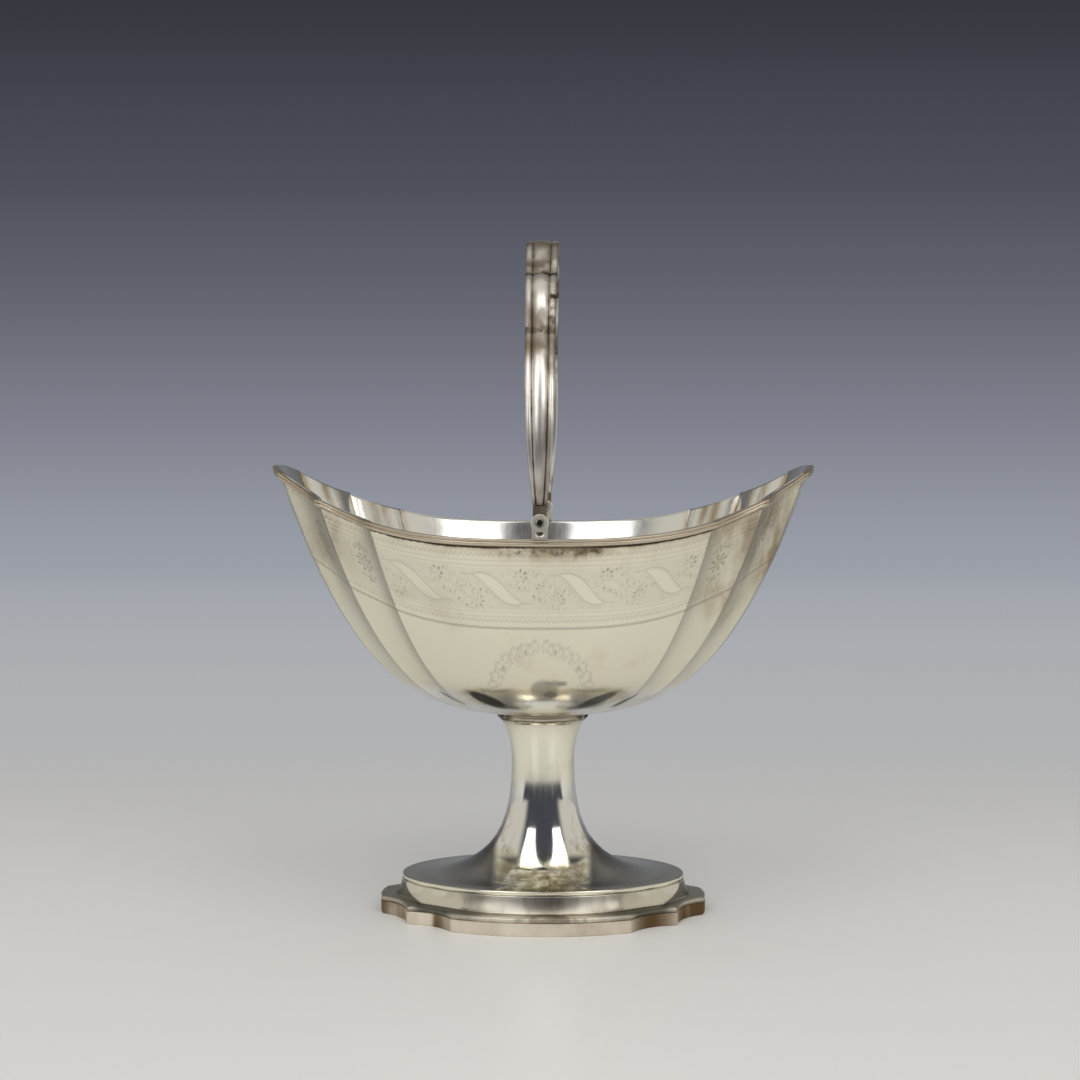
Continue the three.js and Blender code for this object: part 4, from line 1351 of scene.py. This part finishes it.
def sweep_material():
    """Pale paper near the object; far off it glows with a painted graded tone, seen by eye and
    metal.

    In front, reflections see a painted dark reflection, standing for the table's edge, instead.
    """
    material = bpy.data.materials.new("studio_paper")
    material.use_nodes = True
    tree = material.node_tree
    shader = tree.nodes["Principled BSDF"]
    shader.inputs["Base Color"].default_value = NEAR_PAPER
    shader.inputs["Roughness"].default_value = 0.38
    shader.inputs["Specular IOR Level"].default_value = 0.35
    path = add_node(tree, "ShaderNodeLightPath").outputs
    place = add_node(tree, "ShaderNodeNewGeometry").outputs["Position"]
    parts = add_node(tree, "ShaderNodeSeparateXYZ", {"Vector": place}).outputs

    depth = map_range(tree, parts["Y"], PAPER_START, FLOOR_BACK, 0.0, 0.5, "LINEAR")
    height = map_range(tree, parts["Z"], 0.0, PAPER_TOP, 0.0, 0.5, "LINEAR")
    ramp = add_node(tree, "ShaderNodeValToRGB", {"Fac": math_node(tree, "ADD", depth, height)})
    tones = ramp.color_ramp.elements
    while len(tones) < len(PAPER_TONES):
        tones.new(0.5)
    for element, (position, colour) in zip(tones, PAPER_TONES):
        element.position = position
        element.color = colour
    # Painted reflection: reflections see the far paper darker
    darker_in_reflections = math_node(tree, "MULTIPLY", path["Is Glossy Ray"], 0.5)
    tone = colour_mix(tree, darker_in_reflections, ramp.outputs["Color"], PAPER_REFLECTION_TONE)
    # The far paper glows with its painted graded tone, seen by eye and metal
    glow = add_node(tree, "ShaderNodeEmission", {"Strength": 1.0, "Color": tone})
    far = map_range(tree, parts["Y"], *PAPER_FADE)
    seen = math_node(tree, "MAXIMUM", path["Is Camera Ray"], path["Is Glossy Ray"])
    share = math_node(tree, "MULTIPLY", seen, far)
    paper = add_node(tree, "ShaderNodeMixShader",
                     {0: share, 1: shader.outputs[0], 2: glow.outputs[0]})

    # Painted dark reflection: beyond the table edge, in front, reflections see a dark band instead
    # of the paper
    reach = add_node(tree, "ShaderNodeVectorMath", {"Vector": place}, operation="LENGTH")
    beyond = map_range(tree, reach.outputs["Value"], *PAINTED_TABLE_EDGE, interpolation="LINEAR")
    sideways = math_node(tree, "ABSOLUTE", parts["X"], 0.0)
    ahead = math_node(tree, "ADD", sideways, math_node(tree, "MULTIPLY", parts["Y"], 1.9))
    in_front = map_range(tree, ahead, 0.0, -0.12, interpolation="LINEAR")
    beyond = math_node(tree, "MULTIPLY", beyond, in_front)
    dark_share = math_node(tree, "MULTIPLY", beyond, path["Is Glossy Ray"])
    painted_dark = add_node(tree, "ShaderNodeEmission", {"Color": PAINTED_DARK_REFLECTION, "Strength": 1.0})
    final = add_node(tree, "ShaderNodeMixShader",
                     {0: dark_share, 1: paper.outputs[0], 2: painted_dark.outputs[0]})
    feed(tree, tree.nodes["Material Output"].inputs["Surface"], final.outputs[0])
    return material


sweep = paper_sweep()
sweep.data.materials.append(sweep_material())


def softbox(name, azimuth):
    """Tall soft light on the camera's side, aimed at the bowl."""
    a, e = math.radians(azimuth), math.radians(SOFTBOX_RISE)
    lamp = bpy.data.lights.new(name, "AREA")
    lamp.shape = "RECTANGLE"
    lamp.size, lamp.size_y = SOFTBOX_WIDTH, SOFTBOX_HEIGHT
    lamp.energy = SOFTBOX_POWER * SOFTBOX_WIDTH * SOFTBOX_HEIGHT
    lamp.color = SOFTBOX_COLOUR
    light = bpy.data.objects.new(name, lamp)
    away = Vector((math.sin(a) * math.cos(e), -math.cos(a) * math.cos(e), math.sin(e)))
    light.location = Vector(BOWL_MIDDLE) + away * SOFTBOX_DISTANCE
    light.rotation_mode = "QUATERNION"
    light.rotation_quaternion = away.to_track_quat("Z", "Y")
    light.visible_camera = False
    bpy.context.scene.collection.objects.link(light)


softbox("softbox_left", -25.0)
softbox("softbox_right", 30.0)


def studio_world():
    """Even fill for the paper; for reflections, beige walls and ceiling and a dark camera side."""
    world = bpy.data.worlds.new("studio_room")
    world.use_nodes = True
    tree = world.node_tree
    path = add_node(tree, "ShaderNodeLightPath").outputs
    way = add_node(tree, "ShaderNodeTexCoord").outputs["Generated"]
    parts = add_node(tree, "ShaderNodeSeparateXYZ", {"Vector": way}).outputs
    aside = math_node(tree, "ABSOLUTE", parts["X"], 0.0)
    toward = math_node(tree, "MULTIPLY", parts["Y"], -1.0)
    turned = math_node(tree, "ARCTAN2", aside, toward)

    def eased(value, start, full, high=1.0):
        """0 at start and high at full."""
        return map_range(tree, value, start, full, 0.0, high)

    side_wall = eased(turned, math.radians(36), math.radians(52))
    far_end = eased(turned, math.radians(135), math.radians(115))
    wall_top = eased(parts["Z"], math.sin(math.radians(55)), math.sin(math.radians(42)))
    side_wall = math_node(tree, "MULTIPLY", side_wall, far_end)
    side_wall = math_node(tree, "MULTIPLY", side_wall, wall_top)
    behind = eased(turned, math.radians(60), math.radians(100), 0.17)
    rise = math_node(tree, "ADD", parts["Z"], behind)
    ceiling = eased(rise, math.sin(math.radians(58)), math.sin(math.radians(70)))
    pale = math_node(tree, "MAXIMUM", side_wall, ceiling)
    room = colour_mix(tree, pale, CAMERA_SIDE, PALE_WALL)
    colour = colour_mix(tree, path["Is Glossy Ray"], EVEN_FILL, room)
    colour = colour_mix(tree, path["Is Camera Ray"], colour, OPEN_BACKGROUND)
    feed(tree, tree.nodes["Background"].inputs["Color"], colour)
    bpy.context.scene.world = world


studio_world()

# Camera: lens and sensor in millimetres, places in metres
LENS, SENSOR = 59.15, 36.0
CAMERA_DISTANCE, CAMERA_HEIGHT, CAMERA_ASIDE = 0.480, 0.1288, -0.0008
PITCH, ORBIT = math.radians(3.29), math.radians(1.0)

camera_data = bpy.data.cameras.new("studio_camera")
camera_data.lens = LENS
camera_data.sensor_width = SENSOR
camera_data.clip_start = 0.01
camera = bpy.data.objects.new("studio_camera", camera_data)
camera.location = (
    CAMERA_DISTANCE * math.sin(ORBIT) + CAMERA_ASIDE * math.cos(ORBIT),
    -CAMERA_DISTANCE * math.cos(ORBIT),
    CAMERA_HEIGHT,
)
camera.rotation_euler = (math.pi / 2 - PITCH, 0, ORBIT)
bpy.context.scene.collection.objects.link(camera)
bpy.context.scene.camera = camera
bpy.context.scene.view_settings.view_transform = "Standard"
